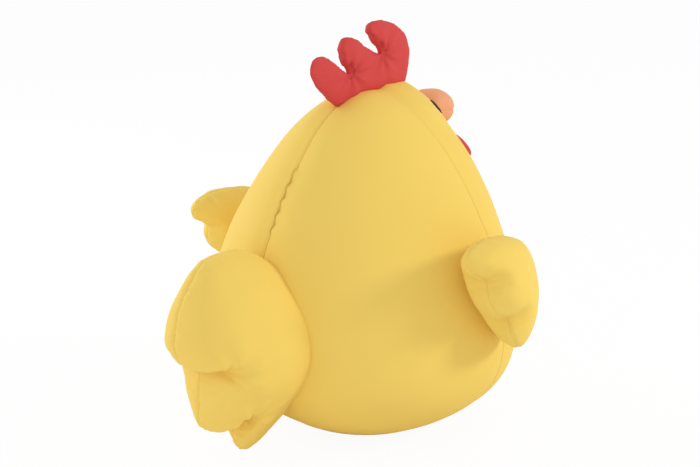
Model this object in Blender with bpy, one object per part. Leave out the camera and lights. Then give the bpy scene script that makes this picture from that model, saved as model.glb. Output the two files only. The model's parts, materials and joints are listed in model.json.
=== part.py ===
"""A stuffed plush chicken: an egg-shaped body of sewn panels over fibre filling, with a stuffed
comb, beak, wattles, wings and tail. Metres, +Z up, facing -Y, origin under the seat."""

import math

import bmesh
import bpy
import numpy as np
from mathutils import Matrix, Vector
from mathutils.geometry import delaunay_2d_cdt

# Body sizes
BODY_HEIGHT = 0.300
WIDEST_HEIGHT = 0.105
BODY_HALF_WIDTH = 0.138
BODY_BACK_DEPTH = 0.134
BODY_FRONT_DEPTH = 0.130
SEAT_RADIUS = 0.048
CROWN_BACK = 0.006
CROWN_FRONT = 0.040
CROWN_SLIT = 0.0024
UPPER_FULLNESS = (1.7, 0.625)
LOWER_FULLNESS = (2.6, 0.85)
BASE_SEAM_HEIGHT = 0.010
SIDE_SEAM_ANGLE = 105.0

# Cloth, filling and fits
FABRIC = 0.0015
GAP = 0.0003
FILL_GAP = 0.0004
SEAT_GAP = 0.0003
ROOT_SINK = 0.004
FILL_EDGE = 0.003
FILL_RIM = 0.0001
SEAM_SHIFT = (0.0, -GAP, 0.0)

# Mesh divisions and the steps of the worked-out curves
BODY_ROWS = 15
BACK_COLUMNS = 9
FRONT_COLUMNS = 13
BASE_ROWS = 4
PROFILE_STEPS = 120
CURVE_STEPS = 400
LATTICE_MARGIN = 0.62
SHARP_ANGLE = 50.0
TANGENT_STEP = 0.005

# Comb, in its upright plane: rearward and upward from the crown
COMB_HALF_THICKNESS = 0.0105
COMB_MESH = 0.0075
COMB_SWAY = 25.0
COMB_HINGE_DROP = 0.003
COMB_REAR_LOBE = ((0.034, -0.014), (0.050, -0.003), (0.063, 0.010), (0.066, 0.020), (0.061, 0.030),
                  (0.051, 0.032), (0.038, 0.025), (0.022, 0.014))
COMB_MIDDLE_LOBE = ((0.022, 0.014), (0.030, 0.026), (0.032, 0.036), (0.027, 0.044), (0.018, 0.0445),
                    (0.002, 0.036), (-0.017, 0.027))
COMB_FRONT_LOBE = ((-0.017, 0.027), (-0.007, 0.039), (-0.001, 0.048), (-0.005, 0.055), (-0.017, 0.0565),
                   (-0.036, 0.052), (-0.050, 0.041), (-0.055, 0.024), (-0.053, 0.006), (-0.049, -0.004))

# Tail, in its upright plane: rearward from the body's middle and upward from the floor
TAIL_HALF_THICKNESS = 0.054
TAIL_MESH = 0.0125
TAIL_WAG = 15.0
TAIL_ROOT_LOW = 0.044
TAIL_ROOT_HIGH = 0.164
TAIL_ROOT_SINK = 0.026
TAIL_TOP_LOBE = ((-0.016, 0.068), (0.010, 0.080), (0.032, 0.080), (0.046, 0.076), (0.058, 0.063),
                 (0.069, 0.046), (0.074, 0.024), (0.074, 0.004), (0.067, -0.008), (0.048, -0.006))
TAIL_MIDDLE_LOBE = ((0.048, -0.006), (0.057, -0.020), (0.059, -0.042), (0.057, -0.057), (0.047, -0.063),
                    (0.034, -0.062), (0.020, -0.058))
TAIL_LOW_LOBE = ((0.020, -0.058), (0.022, -0.074), (0.018, -0.088), (0.009, -0.0915), (-0.006, -0.084),
                 (-0.020, -0.072), (-0.024, -0.056))

# Wing, flat before it curls: outward from its root seam and upward from the root's middle
WING_HALF_THICKNESS = 0.028
WING_MESH = 0.0115
WING_FLAP = 45.0
WING_ROOT_ANGLE = 105.0
WING_ROOT_HEIGHT = 0.140
WING_ROOT_SPAN = 0.080
WING_LEAVE_ANGLE = 25.0
WING_CURL_RADIUS = 0.088
WING_TOP_FEATHER = ((-0.004, 0.036), (0.026, 0.044), (0.060, 0.047), (0.090, 0.045), (0.106, 0.035),
                    (0.103, 0.023), (0.086, 0.013))
WING_MIDDLE_FEATHER = ((0.086, 0.013), (0.091, 0.001), (0.086, -0.012), (0.073, -0.018), (0.058, -0.020))
WING_LOW_FEATHER = ((0.058, -0.020), (0.060, -0.032), (0.050, -0.044), (0.030, -0.050), (0.010, -0.047),
                    (-0.004, -0.036))

# Wattles, hung on the chest below the beak
WATTLE_HALF_THICKNESS = 0.008
WATTLE_MESH = 0.006
WATTLE_SWING = 40.0
WATTLE_ANGLE = 167.0
WATTLE_ROOT_HEIGHT = 0.248
WATTLE_TILT = 14.0
WATTLE_DROP = ((-0.008, 0.001), (-0.011, -0.010), (-0.0125, -0.021), (-0.008, -0.030), (0.000, -0.033),
               (0.008, -0.030), (0.0125, -0.021), (0.011, -0.010), (0.008, 0.001))

# Beak, in its level plane: sideways from the middle and forward from the face
BEAK_HALF_THICKNESS = 0.0165
BEAK_MESH = 0.0075
BEAK_HEIGHT = 0.273
BEAK_DROOP = 6.0
BEAK_ROOT_DEPTH = 0.008
BEAK_EDGE = ((-0.022, 0.000), (-0.0215, 0.011), (-0.016, 0.025), (-0.008, 0.034), (0.000, 0.037),
             (0.008, 0.034), (0.016, 0.025), (0.0215, 0.011), (0.022, 0.000))

# Eyes: embroidered patches on the front panel
EYE_ANGLE = 142.0
EYE_HEIGHT = 0.277
EYE_RADIUS = 0.0085
EYE_THICKNESS = 0.0009
EYE_RINGS = 2
EYE_SIDES = 14

# Colours of the cloths
YELLOW = (0.88, 0.62, 0.12)
RED = (0.62, 0.055, 0.05)
ORANGE = (0.83, 0.36, 0.17)
DARK = (0.02, 0.014, 0.012)
WHITE = (0.86, 0.85, 0.82)


def clear_scene():
    """Empty the scene before the model is made."""
    for old in list(bpy.data.objects):
        bpy.data.objects.remove(old, do_unlink=True)


def make_material(name, colour, roughness):
    """A plain cloth finish of one colour."""
    material = bpy.data.materials.new(name)
    material.use_nodes = True
    shader = material.node_tree.nodes["Principled BSDF"]
    shader.inputs["Base Color"].default_value = (*colour, 1.0)
    shader.inputs["Roughness"].default_value = roughness
    shader.inputs["Metallic"].default_value = 0.0
    return material


def make_object(name, points, faces, colour, roughness=0.9):
    """One named solid with a material of its own."""
    mesh = bpy.data.meshes.new(name)
    mesh.from_pydata(np.asarray(points).tolist(), [], [tuple(int(i) for i in face) for face in faces])
    mesh.validate()
    mesh.shade_smooth()
    mesh.set_sharp_from_angle(angle=math.radians(SHARP_ANGLE))
    mesh.materials.append(make_material(name + "_cloth", colour, roughness))
    piece = bpy.data.objects.new(name, mesh)
    bpy.context.scene.collection.objects.link(piece)
    return piece


def body_half_sizes(height):
    """Half width, depth behind and depth in front of the body at a height."""
    height = np.asarray(height, dtype=float)
    rise = np.clip((height - WIDEST_HEIGHT) / (BODY_HEIGHT - WIDEST_HEIGHT), 0.0, 1.0)
    fall = np.clip((WIDEST_HEIGHT - height) / WIDEST_HEIGHT, 0.0, 1.0)
    upper = (1.0 - rise ** UPPER_FULLNESS[0]) ** UPPER_FULLNESS[1]
    lower = (1.0 - fall ** LOWER_FULLNESS[0]) ** LOWER_FULLNESS[1]
    above = height >= WIDEST_HEIGHT
    sizes = []
    for widest, crown in ((BODY_HALF_WIDTH, 0.0), (BODY_BACK_DEPTH, CROWN_BACK),
                          (BODY_FRONT_DEPTH, CROWN_FRONT)):
        top = crown + (widest - crown) * upper
        bottom = SEAT_RADIUS + (widest - SEAT_RADIUS) * lower
        sizes.append(np.where(above, top, bottom))
    return sizes


def body_point(angle, height, inset=0.0):
    """Point on the body, its angle in degrees from the rear towards the left, drawn in by inset."""
    turn = np.radians(angle)
    width, back, front = body_half_sizes(height)
    depth = np.where(np.cos(turn) > 0.0, back, front)
    points = np.stack(np.broadcast_arrays(width * np.sin(turn), depth * np.cos(turn), height), axis=-1)
    return inset_body(points, inset)


def inset_body(points, inset):
    """Draw points in towards the middle of the widest level, by the inset at each far side."""
    x, y, z = np.moveaxis(np.asarray(points, dtype=float), -1, 0)
    rise = z - WIDEST_HEIGHT
    x = x * (1.0 - inset / BODY_HALF_WIDTH)
    y = y * np.where(y > 0.0, 1.0 - inset / BODY_BACK_DEPTH, 1.0 - inset / BODY_FRONT_DEPTH)
    reach = np.where(rise > 0.0, BODY_HEIGHT - WIDEST_HEIGHT, WIDEST_HEIGHT)
    rise = rise * (1.0 - inset / reach)
    return np.stack([x, y, WIDEST_HEIGHT + rise], axis=-1)


def row_heights(low, high, rows):
    """Heights closer together towards the floor and the crown."""
    def latitude(height):
        reach = BODY_HEIGHT - WIDEST_HEIGHT if height > WIDEST_HEIGHT else WIDEST_HEIGHT
        return math.asin(max(-1.0, min(1.0, (height - WIDEST_HEIGHT) / reach)))
    turn = np.linspace(latitude(low), latitude(high), rows)
    reach = np.where(turn > 0.0, BODY_HEIGHT - WIDEST_HEIGHT, WIDEST_HEIGHT)
    return WIDEST_HEIGHT + reach * np.sin(turn)


def crown_height():
    """Height at which the top is as wide as the slit that the comb is sewn into."""
    share = CROWN_SLIT / 2.0 / BODY_HALF_WIDTH
    rise = (1.0 - share ** (1.0 / UPPER_FULLNESS[1])) ** (1.0 / UPPER_FULLNESS[0])
    return WIDEST_HEIGHT + rise * (BODY_HEIGHT - WIDEST_HEIGHT)


def back_profile_height(rearward):
    """Height of the body's middle line, over the head, at a distance rearward of the middle."""
    heights = row_heights(WIDEST_HEIGHT, BODY_HEIGHT, PROFILE_STEPS)
    _, back, front = body_half_sizes(heights)
    if rearward > back[-1]:
        return float(np.interp(-rearward, -back, heights))
    if rearward < -front[-1]:
        return float(np.interp(rearward, -front, heights))
    return BODY_HEIGHT


def body_angles():
    """Angles of the body's columns, with each seam on a column."""
    side = SIDE_SEAM_ANGLE
    left = np.linspace(0.0, side, BACK_COLUMNS)
    front = np.linspace(side, 360.0 - side, FRONT_COLUMNS)
    right = np.linspace(360.0 - side, 360.0, BACK_COLUMNS)
    return np.concatenate([left[:-1], front[:-1], right[:-1]])


def panel_heights():
    """Heights of the body's rows between the base seam and the crown."""
    return row_heights(BASE_SEAM_HEIGHT, crown_height(), BODY_ROWS)


def base_heights():
    """Heights of the body's rows from the floor to just under the base seam."""
    return row_heights(0.0, BASE_SEAM_HEIGHT - GAP, BASE_ROWS)


def grid_points(angles, heights, inset):
    """Points of the body on a grid of heights and angles, row by row."""
    height_grid, angle_grid = np.meshgrid(heights, angles, indexing="ij")
    return body_point(angle_grid, height_grid, inset).reshape(-1, 3)


def grid_faces(rows, columns, closed):
    """Triangles of a grid stored row by row, joined into a ring where it is closed."""
    cells = columns if closed else columns - 1
    row, column = np.meshgrid(np.arange(rows - 1), np.arange(cells), indexing="ij")
    low, high = (row * columns).ravel(), ((row + 1) * columns).ravel()
    here, after = column.ravel(), ((column + 1) % columns).ravel()
    first = np.stack([low + here, high + after, low + after], axis=1)
    second = np.stack([low + here, high + here, high + after], axis=1)
    return np.concatenate([first, second])


def rim_loop(rows, columns):
    """Border of an open grid, once round."""
    low = list(range(columns))
    right = [row * columns + columns - 1 for row in range(1, rows)]
    top = [(rows - 1) * columns + column for column in range(columns - 2, -1, -1)]
    left = [row * columns for row in range(rows - 2, 0, -1)]
    return low + right + top + left


def face_outwards(piece):
    """Turn every face of a closed solid outwards."""
    work = bmesh.new()
    work.from_mesh(piece.data)
    bmesh.ops.recalc_face_normals(work, faces=work.faces)
    work.to_mesh(piece.data)
    work.free()
    return piece


def body_panel(name, start, stop, columns, shift):
    """A curved panel of cloth between two seams, moved outwards by its share of the seam gap."""
    angles = np.linspace(start, stop, columns)
    outer = grid_points(angles, panel_heights(), 0.0)
    inner = grid_points(angles, panel_heights(), FABRIC)
    count = len(outer)
    sheet = grid_faces(BODY_ROWS, columns, False)
    rim = rim_loop(BODY_ROWS, columns)
    walls = [(a, b, count + b, count + a) for a, b in zip(rim, rim[1:] + rim[:1])]
    faces = [tuple(face) for face in sheet] + [tuple(count + face[::-1]) for face in sheet] + walls
    return face_outwards(make_object(name, np.concatenate([outer, inner]) + np.asarray(shift), faces, YELLOW))


def turned_body(inset):
    """Closed surface of the whole body, drawn in by inset: points and faces."""
    angles = body_angles()
    heights = np.concatenate([base_heights(), panel_heights()])
    columns, rows = len(angles), len(heights)
    faces = [tuple(face) for face in grid_faces(rows, columns, True)]
    faces.append(tuple(range(columns)))
    faces.append(tuple((rows - 1) * columns + column for column in range(columns)))
    return grid_points(angles, heights, inset), faces


def body_base():
    """Seat panel: a shallow dish with a flat underside, up to the base seam."""
    angles = body_angles()
    columns = len(angles)
    outer = grid_points(angles, base_heights(), 0.0)
    inner = grid_points(angles, base_heights(), FABRIC)
    count = len(outer)
    sheet = grid_faces(BASE_ROWS, columns, True)
    faces = [tuple(face) for face in sheet] + [tuple(count + face[::-1]) for face in sheet]
    top = count - columns
    for column in range(columns):
        after = (column + 1) % columns
        faces.append((top + column, top + after, count + top + after, count + top + column))
    faces.append(tuple(range(columns)))
    faces.append(tuple(count + column for column in range(columns)))
    return face_outwards(make_object("body_base", np.concatenate([outer, inner]), faces, YELLOW))


def make_body():
    """The four cloth panels and the filling of the body."""
    side = SIDE_SEAM_ANGLE
    half = GAP / 2.0
    body_panel("body_back_left", 0.0, side, BACK_COLUMNS, (half, 0.0, 0.0))
    body_panel("body_back_right", -side, 0.0, BACK_COLUMNS, (-half, 0.0, 0.0))
    body_panel("body_front", side, 360.0 - side, FRONT_COLUMNS, SEAM_SHIFT)
    body_base()
    points, faces = turned_body(FABRIC + FILL_GAP)
    face_outwards(make_object("body_stuffing", points, faces, WHITE))


def seat_cutter(name, placement):
    """The body grown by the seat gap, its front as far out as the front panel, which trims what is sewn on."""
    points, faces = turned_body(-SEAT_GAP)
    rows = len(points) // len(body_angles())
    in_front = np.tile(np.cos(np.radians(body_angles())) < math.cos(math.radians(SIDE_SEAM_ANGLE)) + 1e-6, rows)
    points = points + in_front[:, None] * np.asarray(SEAM_SHIFT)
    cutter = face_outwards(make_object(name, points, faces, WHITE))
    cutter.hide_render = True
    cutter.display_type = "WIRE"
    cutter.matrix_world = placement
    return cutter


def trim(piece, cutters):
    """Cut a sewn-on piece back to its seat, at rest and at the ends of its motion."""
    for cutter in cutters:
        cut = piece.modifiers.new("seat_" + cutter.name, "BOOLEAN")
        cut.operation = "DIFFERENCE"
        cut.object = cutter


def make_eye(name, side):
    """An embroidered disc that follows the curve of the front panel."""
    _, _, front = body_half_sizes(EYE_HEIGHT)
    points = []
    for lift in (GAP, GAP + EYE_THICKNESS):
        points.append(body_point(side * EYE_ANGLE, EYE_HEIGHT, -lift) + SEAM_SHIFT)
        for ring in range(1, EYE_RINGS + 1):
            turn = np.arange(EYE_SIDES) * 2.0 * math.pi / EYE_SIDES
            reach = EYE_RADIUS * ring / EYE_RINGS
            angles = side * EYE_ANGLE + np.degrees(reach * np.cos(turn) / float(front))
            heights = EYE_HEIGHT + reach * np.sin(turn) * eye_slope()
            points.extend(body_point(angles, heights, -lift) + SEAM_SHIFT)
    count = 1 + EYE_RINGS * EYE_SIDES
    faces = []
    for base in (0, count):
        for spoke in range(EYE_SIDES):
            after = (spoke + 1) % EYE_SIDES
            faces.append((base, base + 1 + spoke, base + 1 + after))
            for ring in range(1, EYE_RINGS):
                low = base + 1 + (ring - 1) * EYE_SIDES
                faces.append((low + spoke, low + EYE_SIDES + spoke, low + EYE_SIDES + after, low + after))
    edge = 1 + (EYE_RINGS - 1) * EYE_SIDES
    for spoke in range(EYE_SIDES):
        after = (spoke + 1) % EYE_SIDES
        faces.append((edge + spoke, edge + after, count + edge + after, count + edge + spoke))
    return face_outwards(make_object(name, points, faces, DARK, 0.5))


def eye_slope():
    """Rise in height for each step along the face at the eyes."""
    below = body_point(EYE_ANGLE, EYE_HEIGHT - TANGENT_STEP)
    above = body_point(EYE_ANGLE, EYE_HEIGHT + TANGENT_STEP)
    return 2.0 * TANGENT_STEP / float(np.linalg.norm(above - below))


def smooth_span(knots, step):
    """Points about a step apart on a smooth cubic curve through the knots."""
    knots = np.asarray(knots, dtype=float)
    chord = np.linalg.norm(np.diff(knots, axis=0), axis=1)
    place = np.concatenate([[0.0], np.cumsum(np.sqrt(chord))])
    slopes = np.gradient(knots, place, axis=0)
    fine = np.linspace(0.0, place[-1], CURVE_STEPS)
    left = np.clip(np.searchsorted(place, fine, side="right") - 1, 0, len(knots) - 2)
    width = (place[left + 1] - place[left])[:, None]
    t = ((fine - place[left]) / (place[left + 1] - place[left]))[:, None]
    curve = (knots[left] * (2 * t ** 3 - 3 * t ** 2 + 1) + knots[left + 1] * (3 * t ** 2 - 2 * t ** 3)
             + slopes[left] * width * (t ** 3 - 2 * t ** 2 + t)
             + slopes[left + 1] * width * (t ** 3 - t ** 2))
    walk = np.concatenate([[0.0], np.cumsum(np.linalg.norm(np.diff(curve, axis=0), axis=1))])
    count = max(2, int(round(walk[-1] / step)) + 1)
    even = np.linspace(0.0, walk[-1], count)
    return np.stack([np.interp(even, walk, curve[:, 0]), np.interp(even, walk, curve[:, 1])], axis=1)


def closed_outline(spans, step):
    """One loop of points from smooth spans that meet at corners."""
    pieces = [smooth_span(span, step)[:-1] for span in spans]
    outline = np.concatenate(pieces)
    x, y = outline[:, 0], outline[:, 1]
    area = np.sum(x * np.roll(y, -1) - np.roll(x, -1) * y)
    return outline if area > 0.0 else outline[::-1]


def inside_outline(points, outline, margin):
    """Which points lie inside an outline, farther than a margin from it."""
    start = outline
    stop = np.roll(outline, -1, axis=0)
    along = stop - start
    share = np.sum((points[:, None] - start) * along, axis=2) / np.sum(along * along, axis=1)
    foot = start + np.clip(share, 0.0, 1.0)[..., None] * along
    near = np.linalg.norm(points[:, None] - foot, axis=2).min(axis=1)
    above = (start[:, 1] > points[:, None, 1]) != (stop[:, 1] > points[:, None, 1])
    rise = np.where(np.abs(along[:, 1]) < 1e-12, 1e-12, along[:, 1])
    cross = start[:, 0] + (points[:, None, 1] - start[:, 1]) * along[:, 0] / rise
    crossings = np.sum(above & (points[:, None, 0] < cross), axis=1)
    return (crossings % 2 == 1) & (near > margin)


def filled_panel(outline, step):
    """Triangles over an outline: its loop first, then points on a lattice inside it."""
    low, high = outline.min(axis=0), outline.max(axis=0)
    row_step = step * math.sqrt(3.0) / 2.0
    lattice = []
    for row, y in enumerate(np.arange(low[1], high[1], row_step)):
        x = np.arange(low[0] - step, high[0] + step, step) + (step / 2.0 if row % 2 else 0.0)
        lattice.append(np.stack([x, np.full_like(x, y)], axis=1))
    lattice = np.concatenate(lattice)
    inner = lattice[inside_outline(lattice, outline, LATTICE_MARGIN * step)]
    points = np.concatenate([outline, inner])
    loop = list(range(len(outline)))
    result = delaunay_2d_cdt([Vector(point) for point in points], [], [loop], 1, 1e-7)
    return np.array([tuple(point) for point in result[0]]), np.array(result[2]), len(outline)


def membrane_height(points, triangles, edge_count):
    """Swell of cloth under an even filling: the membrane equation solved on the triangles, 0 to 1."""
    corner = points[triangles]
    side = np.roll(corner, -2, axis=1) - np.roll(corner, -1, axis=1)
    area = 0.5 * np.abs(side[:, 0, 0] * side[:, 1, 1] - side[:, 0, 1] * side[:, 1, 0])
    stiffness = np.zeros((len(points), len(points)))
    load = np.zeros(len(points))
    for i in range(3):
        np.add.at(load, triangles[:, i], area / 3.0)
        for j in range(3):
            share = np.sum(side[:, i] * side[:, j], axis=1) / (4.0 * area)
            np.add.at(stiffness, (triangles[:, i], triangles[:, j]), share)
    free = np.arange(edge_count, len(points))
    swell = np.zeros(len(points))
    swell[free] = np.linalg.solve(stiffness[np.ix_(free, free)], load[free])
    return np.sqrt(np.clip(swell, 0.0, None) / swell.max())


def flat_place(plane, lift):
    """A limb that lies in its plane."""
    return np.stack([plane[:, 0], plane[:, 1], lift], axis=1)


def curled_place(plane, lift, inner_side):
    """A limb that curls about an upright axis on its inner side."""
    turn = plane[:, 0] / WING_CURL_RADIUS
    reach = WING_CURL_RADIUS - inner_side * lift
    along = reach * np.sin(turn)
    across = inner_side * (WING_CURL_RADIUS - reach * np.cos(turn))
    return np.stack([along, plane[:, 1], across], axis=1)


def cloth_half(name, pattern, side, colour, place, hinge):
    """One of a limb's two cloth panels, swollen to one side of the limb's plane."""
    points, triangles, edge_count, lift = pattern
    low = place(points, side * (GAP + lift))
    high = place(points, side * (GAP + FABRIC + lift))
    return limb_solid(name, high, low, triangles, edge_count, colour, hinge)


def filling(name, pattern, place, hinge):
    """Filling inside a limb, a fit smaller than the cloth."""
    points, triangles, edge_count, lift = pattern
    drawn = points.copy()
    loop = points[:edge_count]
    along = np.roll(loop, -1, axis=0) - np.roll(loop, 1, axis=0)
    inward = np.stack([-along[:, 1], along[:, 0]], axis=1)
    drawn[:edge_count] += FILL_EDGE * inward / np.linalg.norm(inward, axis=1)[:, None]
    swell = np.maximum(lift - FILL_GAP, FILL_RIM)
    return limb_solid(name, place(drawn, swell), place(drawn, -swell), triangles, edge_count, WHITE, hinge)


def limb_solid(name, high, low, triangles, edge_count, colour, hinge):
    """Closed solid between two swollen faces that share one triangle pattern."""
    count = len(high)
    faces = [tuple(face) for face in triangles] + [tuple(count + face[::-1]) for face in triangles]
    for first in range(edge_count):
        after = (first + 1) % edge_count
        faces.append((after, first, count + first, count + after))
    piece = face_outwards(make_object(name, np.concatenate([high, low]), faces, colour))
    piece.parent = hinge
    return piece


def make_limb(name, halves, spans, step, thickness, colour, frame, cutters, place=flat_place):
    """A stuffed limb: two cloth panels and their filling, on an empty at its root."""
    hinge = bpy.data.objects.new(name + "_root", None)
    bpy.context.scene.collection.objects.link(hinge)
    hinge.matrix_world = frame
    points, triangles, edge_count = filled_panel(closed_outline(spans, step), step)
    lift = thickness * membrane_height(points, triangles, edge_count)
    pattern = (points, triangles, edge_count, lift)
    pieces = [cloth_half(halves[0], pattern, 1.0, colour, place, hinge),
              cloth_half(halves[1], pattern, -1.0, colour, place, hinge),
              filling(name + "_stuffing", pattern, place, hinge)]
    for piece in pieces:
        trim(piece, cutters)


def frame_from(origin, along, up):
    """Placement whose x runs along and whose y runs up, square to it."""
    x = Vector(along).normalized()
    y = Vector(up)
    y = (y - x * y.dot(x)).normalized()
    z = x.cross(y)
    turn = Matrix((x, y, z)).transposed().to_4x4()
    return Matrix.Translation(Vector(origin)) @ turn


def motion_cutters(name, frame, axis, angles):
    """Seats at rest and as a limb sees the body at the ends of its motion."""
    cutters = [seat_cutter(name + "_seat", Matrix.Identity(4))]
    for index, angle in enumerate(angles):
        turn = frame @ Matrix.Rotation(math.radians(-angle), 4, axis) @ frame.inverted()
        cutters.append(seat_cutter(f"{name}_relief_{index}", turn))
    return cutters


def make_comb():
    """Red comb of three lobes, sewn into the slit along the crown."""
    origin = (0.0, 0.0, BODY_HEIGHT - COMB_HINGE_DROP)
    frame = frame_from(origin, (0.0, 1.0, 0.0), (0.0, 0.0, 1.0))
    lift = COMB_HINGE_DROP
    spans = [[(x, y + lift) for x, y in span] for span in (COMB_REAR_LOBE, COMB_MIDDLE_LOBE, COMB_FRONT_LOBE)]
    front, rear = spans[-1][-1], spans[0][0]
    root = [front]
    for share in (0.25, 0.5, 0.75):
        rearward = front[0] + (rear[0] - front[0]) * share
        root.append((rearward, back_profile_height(rearward) - ROOT_SINK - origin[2]))
    root.append(rear)
    half_sway = COMB_SWAY / 2.0
    cutters = motion_cutters("comb", frame, "X", (COMB_SWAY, half_sway, -half_sway, -COMB_SWAY))
    make_limb("comb", ("comb_left_panel", "comb_right_panel"), spans + [root], COMB_MESH,
              COMB_HALF_THICKNESS, RED, frame, cutters)


def make_tail():
    """Tail of three drooping feathers, sewn upright on the back seam."""
    middle = (TAIL_ROOT_LOW + TAIL_ROOT_HIGH) / 2.0
    origin = body_point(0.0, middle)
    frame = frame_from(origin, (0.0, 1.0, 0.0), (0.0, 0.0, 1.0))
    spans = [TAIL_TOP_LOBE, TAIL_MIDDLE_LOBE, TAIL_LOW_LOBE]
    root = [spans[-1][-1]]
    for height in np.linspace(TAIL_ROOT_LOW, TAIL_ROOT_HIGH, 5)[1:-1]:
        seat = body_point(0.0, height)
        root.append((seat[1] - origin[1] - TAIL_ROOT_SINK, height - middle))
    root.append(spans[0][0])
    cutters = motion_cutters("tail", frame, "Y", (TAIL_WAG, -TAIL_WAG))
    make_limb("tail", ("tail_left_panel", "tail_right_panel"), spans + [root], TAIL_MESH,
              TAIL_HALF_THICKNESS, YELLOW, frame, cutters)


def make_wing(name, side):
    """A curled wing of three feathers, sewn into the side seam. Side is 1 on the left, -1 on the right."""
    low = body_point(side * WING_ROOT_ANGLE, WING_ROOT_HEIGHT - WING_ROOT_SPAN / 2.0)
    high = body_point(side * WING_ROOT_ANGLE, WING_ROOT_HEIGHT + WING_ROOT_SPAN / 2.0)
    leave = math.radians(WING_LEAVE_ANGLE)
    outward = np.array((side * math.cos(leave), math.sin(leave), 0.0))
    upward = Vector(high - low).normalized()
    across = Vector(outward) - upward * upward.dot(Vector(outward))
    frame = frame_from((low + high) / 2.0, across, upward)
    spans = [WING_TOP_FEATHER, WING_MIDDLE_FEATHER, WING_LOW_FEATHER]
    spans = spans + [[spans[-1][-1], (-ROOT_SINK, 0.0), spans[0][0]]]
    halves = (name + "_outer", name + "_inner") if side > 0 else (name + "_inner", name + "_outer")
    cutters = motion_cutters(name, frame, "Y", (-side * WING_FLAP,))

    def curled(plane, lift):
        return curled_place(plane, lift, -side)
    make_limb(name, halves, spans, WING_MESH, WING_HALF_THICKNESS, YELLOW, frame, cutters, curled)


def make_wattle(name, side):
    """A small stuffed drop that hangs on the chest from its top seam."""
    root = body_point(side * WATTLE_ANGLE, WATTLE_ROOT_HEIGHT)
    down = Vector(body_point(side * WATTLE_ANGLE, WATTLE_ROOT_HEIGHT - TANGENT_STEP) - root).normalized()
    across = Vector(body_point(side * WATTLE_ANGLE + 1.0, WATTLE_ROOT_HEIGHT)
                    - body_point(side * WATTLE_ANGLE - 1.0, WATTLE_ROOT_HEIGHT)).normalized()
    frame = frame_from(root, -across, -down)
    frame = frame @ Matrix.Rotation(math.radians(-WATTLE_TILT), 4, "X")
    cutters = motion_cutters(name, frame, "X", (-WATTLE_SWING,))
    spans = [WATTLE_DROP, [WATTLE_DROP[-1], WATTLE_DROP[0]]]
    make_limb(name, (name + "_front", name + "_back"), spans, WATTLE_MESH, WATTLE_HALF_THICKNESS, RED,
              frame, cutters)


def make_beak():
    """Blunt stuffed beak of an upper and a lower panel, sewn to the face all round."""
    origin = body_point(180.0, BEAK_HEIGHT)
    droop = math.radians(BEAK_DROOP)
    forward = (0.0, -math.cos(droop), -math.sin(droop))
    frame = frame_from(origin, (-1.0, 0.0, 0.0), forward)
    left, right = BEAK_EDGE[0], BEAK_EDGE[-1]
    root = [right, (right[0], -BEAK_ROOT_DEPTH), (left[0], -BEAK_ROOT_DEPTH), left]
    spans = [BEAK_EDGE] + [[first, last] for first, last in zip(root, root[1:])]
    cutters = [seat_cutter("beak_seat", Matrix.Translation(SEAM_SHIFT))]
    make_limb("beak", ("beak_upper", "beak_lower"), spans, BEAK_MESH, BEAK_HALF_THICKNESS, ORANGE,
              frame, cutters)


def main():
    """Build the whole chicken."""
    clear_scene()
    make_body()
    make_eye("eye_left", 1.0)
    make_eye("eye_right", -1.0)
    make_beak()
    make_comb()
    make_tail()
    make_wing("wing_left", 1.0)
    make_wing("wing_right", -1.0)
    make_wattle("wattle_left", 1.0)
    make_wattle("wattle_right", -1.0)


main()
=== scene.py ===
"""Looks of a stuffed plush chicken: sewn velour panels over fibre filling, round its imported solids."""

from __future__ import annotations

import json
import logging
import math
from dataclasses import dataclass, field
from enum import Enum
from typing import Sequence

import bmesh
import bpy
import numpy as np
from mathutils import Matrix, Vector
from mathutils.bvhtree import BVHTree
from mathutils.geometry import delaunay_2d_cdt

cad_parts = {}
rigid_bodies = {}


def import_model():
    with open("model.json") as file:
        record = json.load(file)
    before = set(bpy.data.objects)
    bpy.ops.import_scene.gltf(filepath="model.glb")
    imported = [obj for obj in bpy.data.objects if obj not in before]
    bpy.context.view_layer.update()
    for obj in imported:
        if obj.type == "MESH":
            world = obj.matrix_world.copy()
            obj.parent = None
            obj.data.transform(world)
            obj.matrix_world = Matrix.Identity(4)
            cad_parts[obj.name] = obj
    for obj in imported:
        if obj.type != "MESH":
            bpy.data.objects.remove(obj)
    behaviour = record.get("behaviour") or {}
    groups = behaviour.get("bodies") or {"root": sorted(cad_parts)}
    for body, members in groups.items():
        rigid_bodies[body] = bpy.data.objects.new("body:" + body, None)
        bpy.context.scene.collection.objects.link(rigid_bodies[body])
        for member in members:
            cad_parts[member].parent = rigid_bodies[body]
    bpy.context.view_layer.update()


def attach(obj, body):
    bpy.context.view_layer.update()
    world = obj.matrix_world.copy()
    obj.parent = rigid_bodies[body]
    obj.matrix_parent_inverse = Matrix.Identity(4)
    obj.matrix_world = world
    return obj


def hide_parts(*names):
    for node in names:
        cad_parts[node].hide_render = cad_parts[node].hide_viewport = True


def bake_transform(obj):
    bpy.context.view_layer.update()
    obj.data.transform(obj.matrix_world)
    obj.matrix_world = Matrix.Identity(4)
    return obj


LOG = logging.getLogger("plush_chicken")
Span = tuple[float, float]
Knots = Sequence[Span]
Colour = tuple[float, float, float]
Waves = tuple[float, float, int]
Array = np.ndarray
Piece = bpy.types.Object
Socket = bpy.types.NodeSocket

CLOTH_THICKNESS = 0.0012
FILL_DEPTH = 0.0050
FULL_TURN = 2.0 * math.pi
TINY = 1e-12
MERGE_GAP = 1e-7
NEAR = 1e-6
WAVE_COUNT = 6
WAVE_SPREAD = (0.7, 1.5)
WAVE_GAIN = 1.6
CURVE_POINTS = 600
TOP_LINE_POINTS = 200
RAY_HEIGHT = 2.0
MIX_FIRST = 6
MIX_SECOND = 7
MIX_RESULT = 2
UP = Vector((0.0, 0.0, 1.0))
REARWARD = Vector((0.0, 1.0, 0.0))


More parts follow.
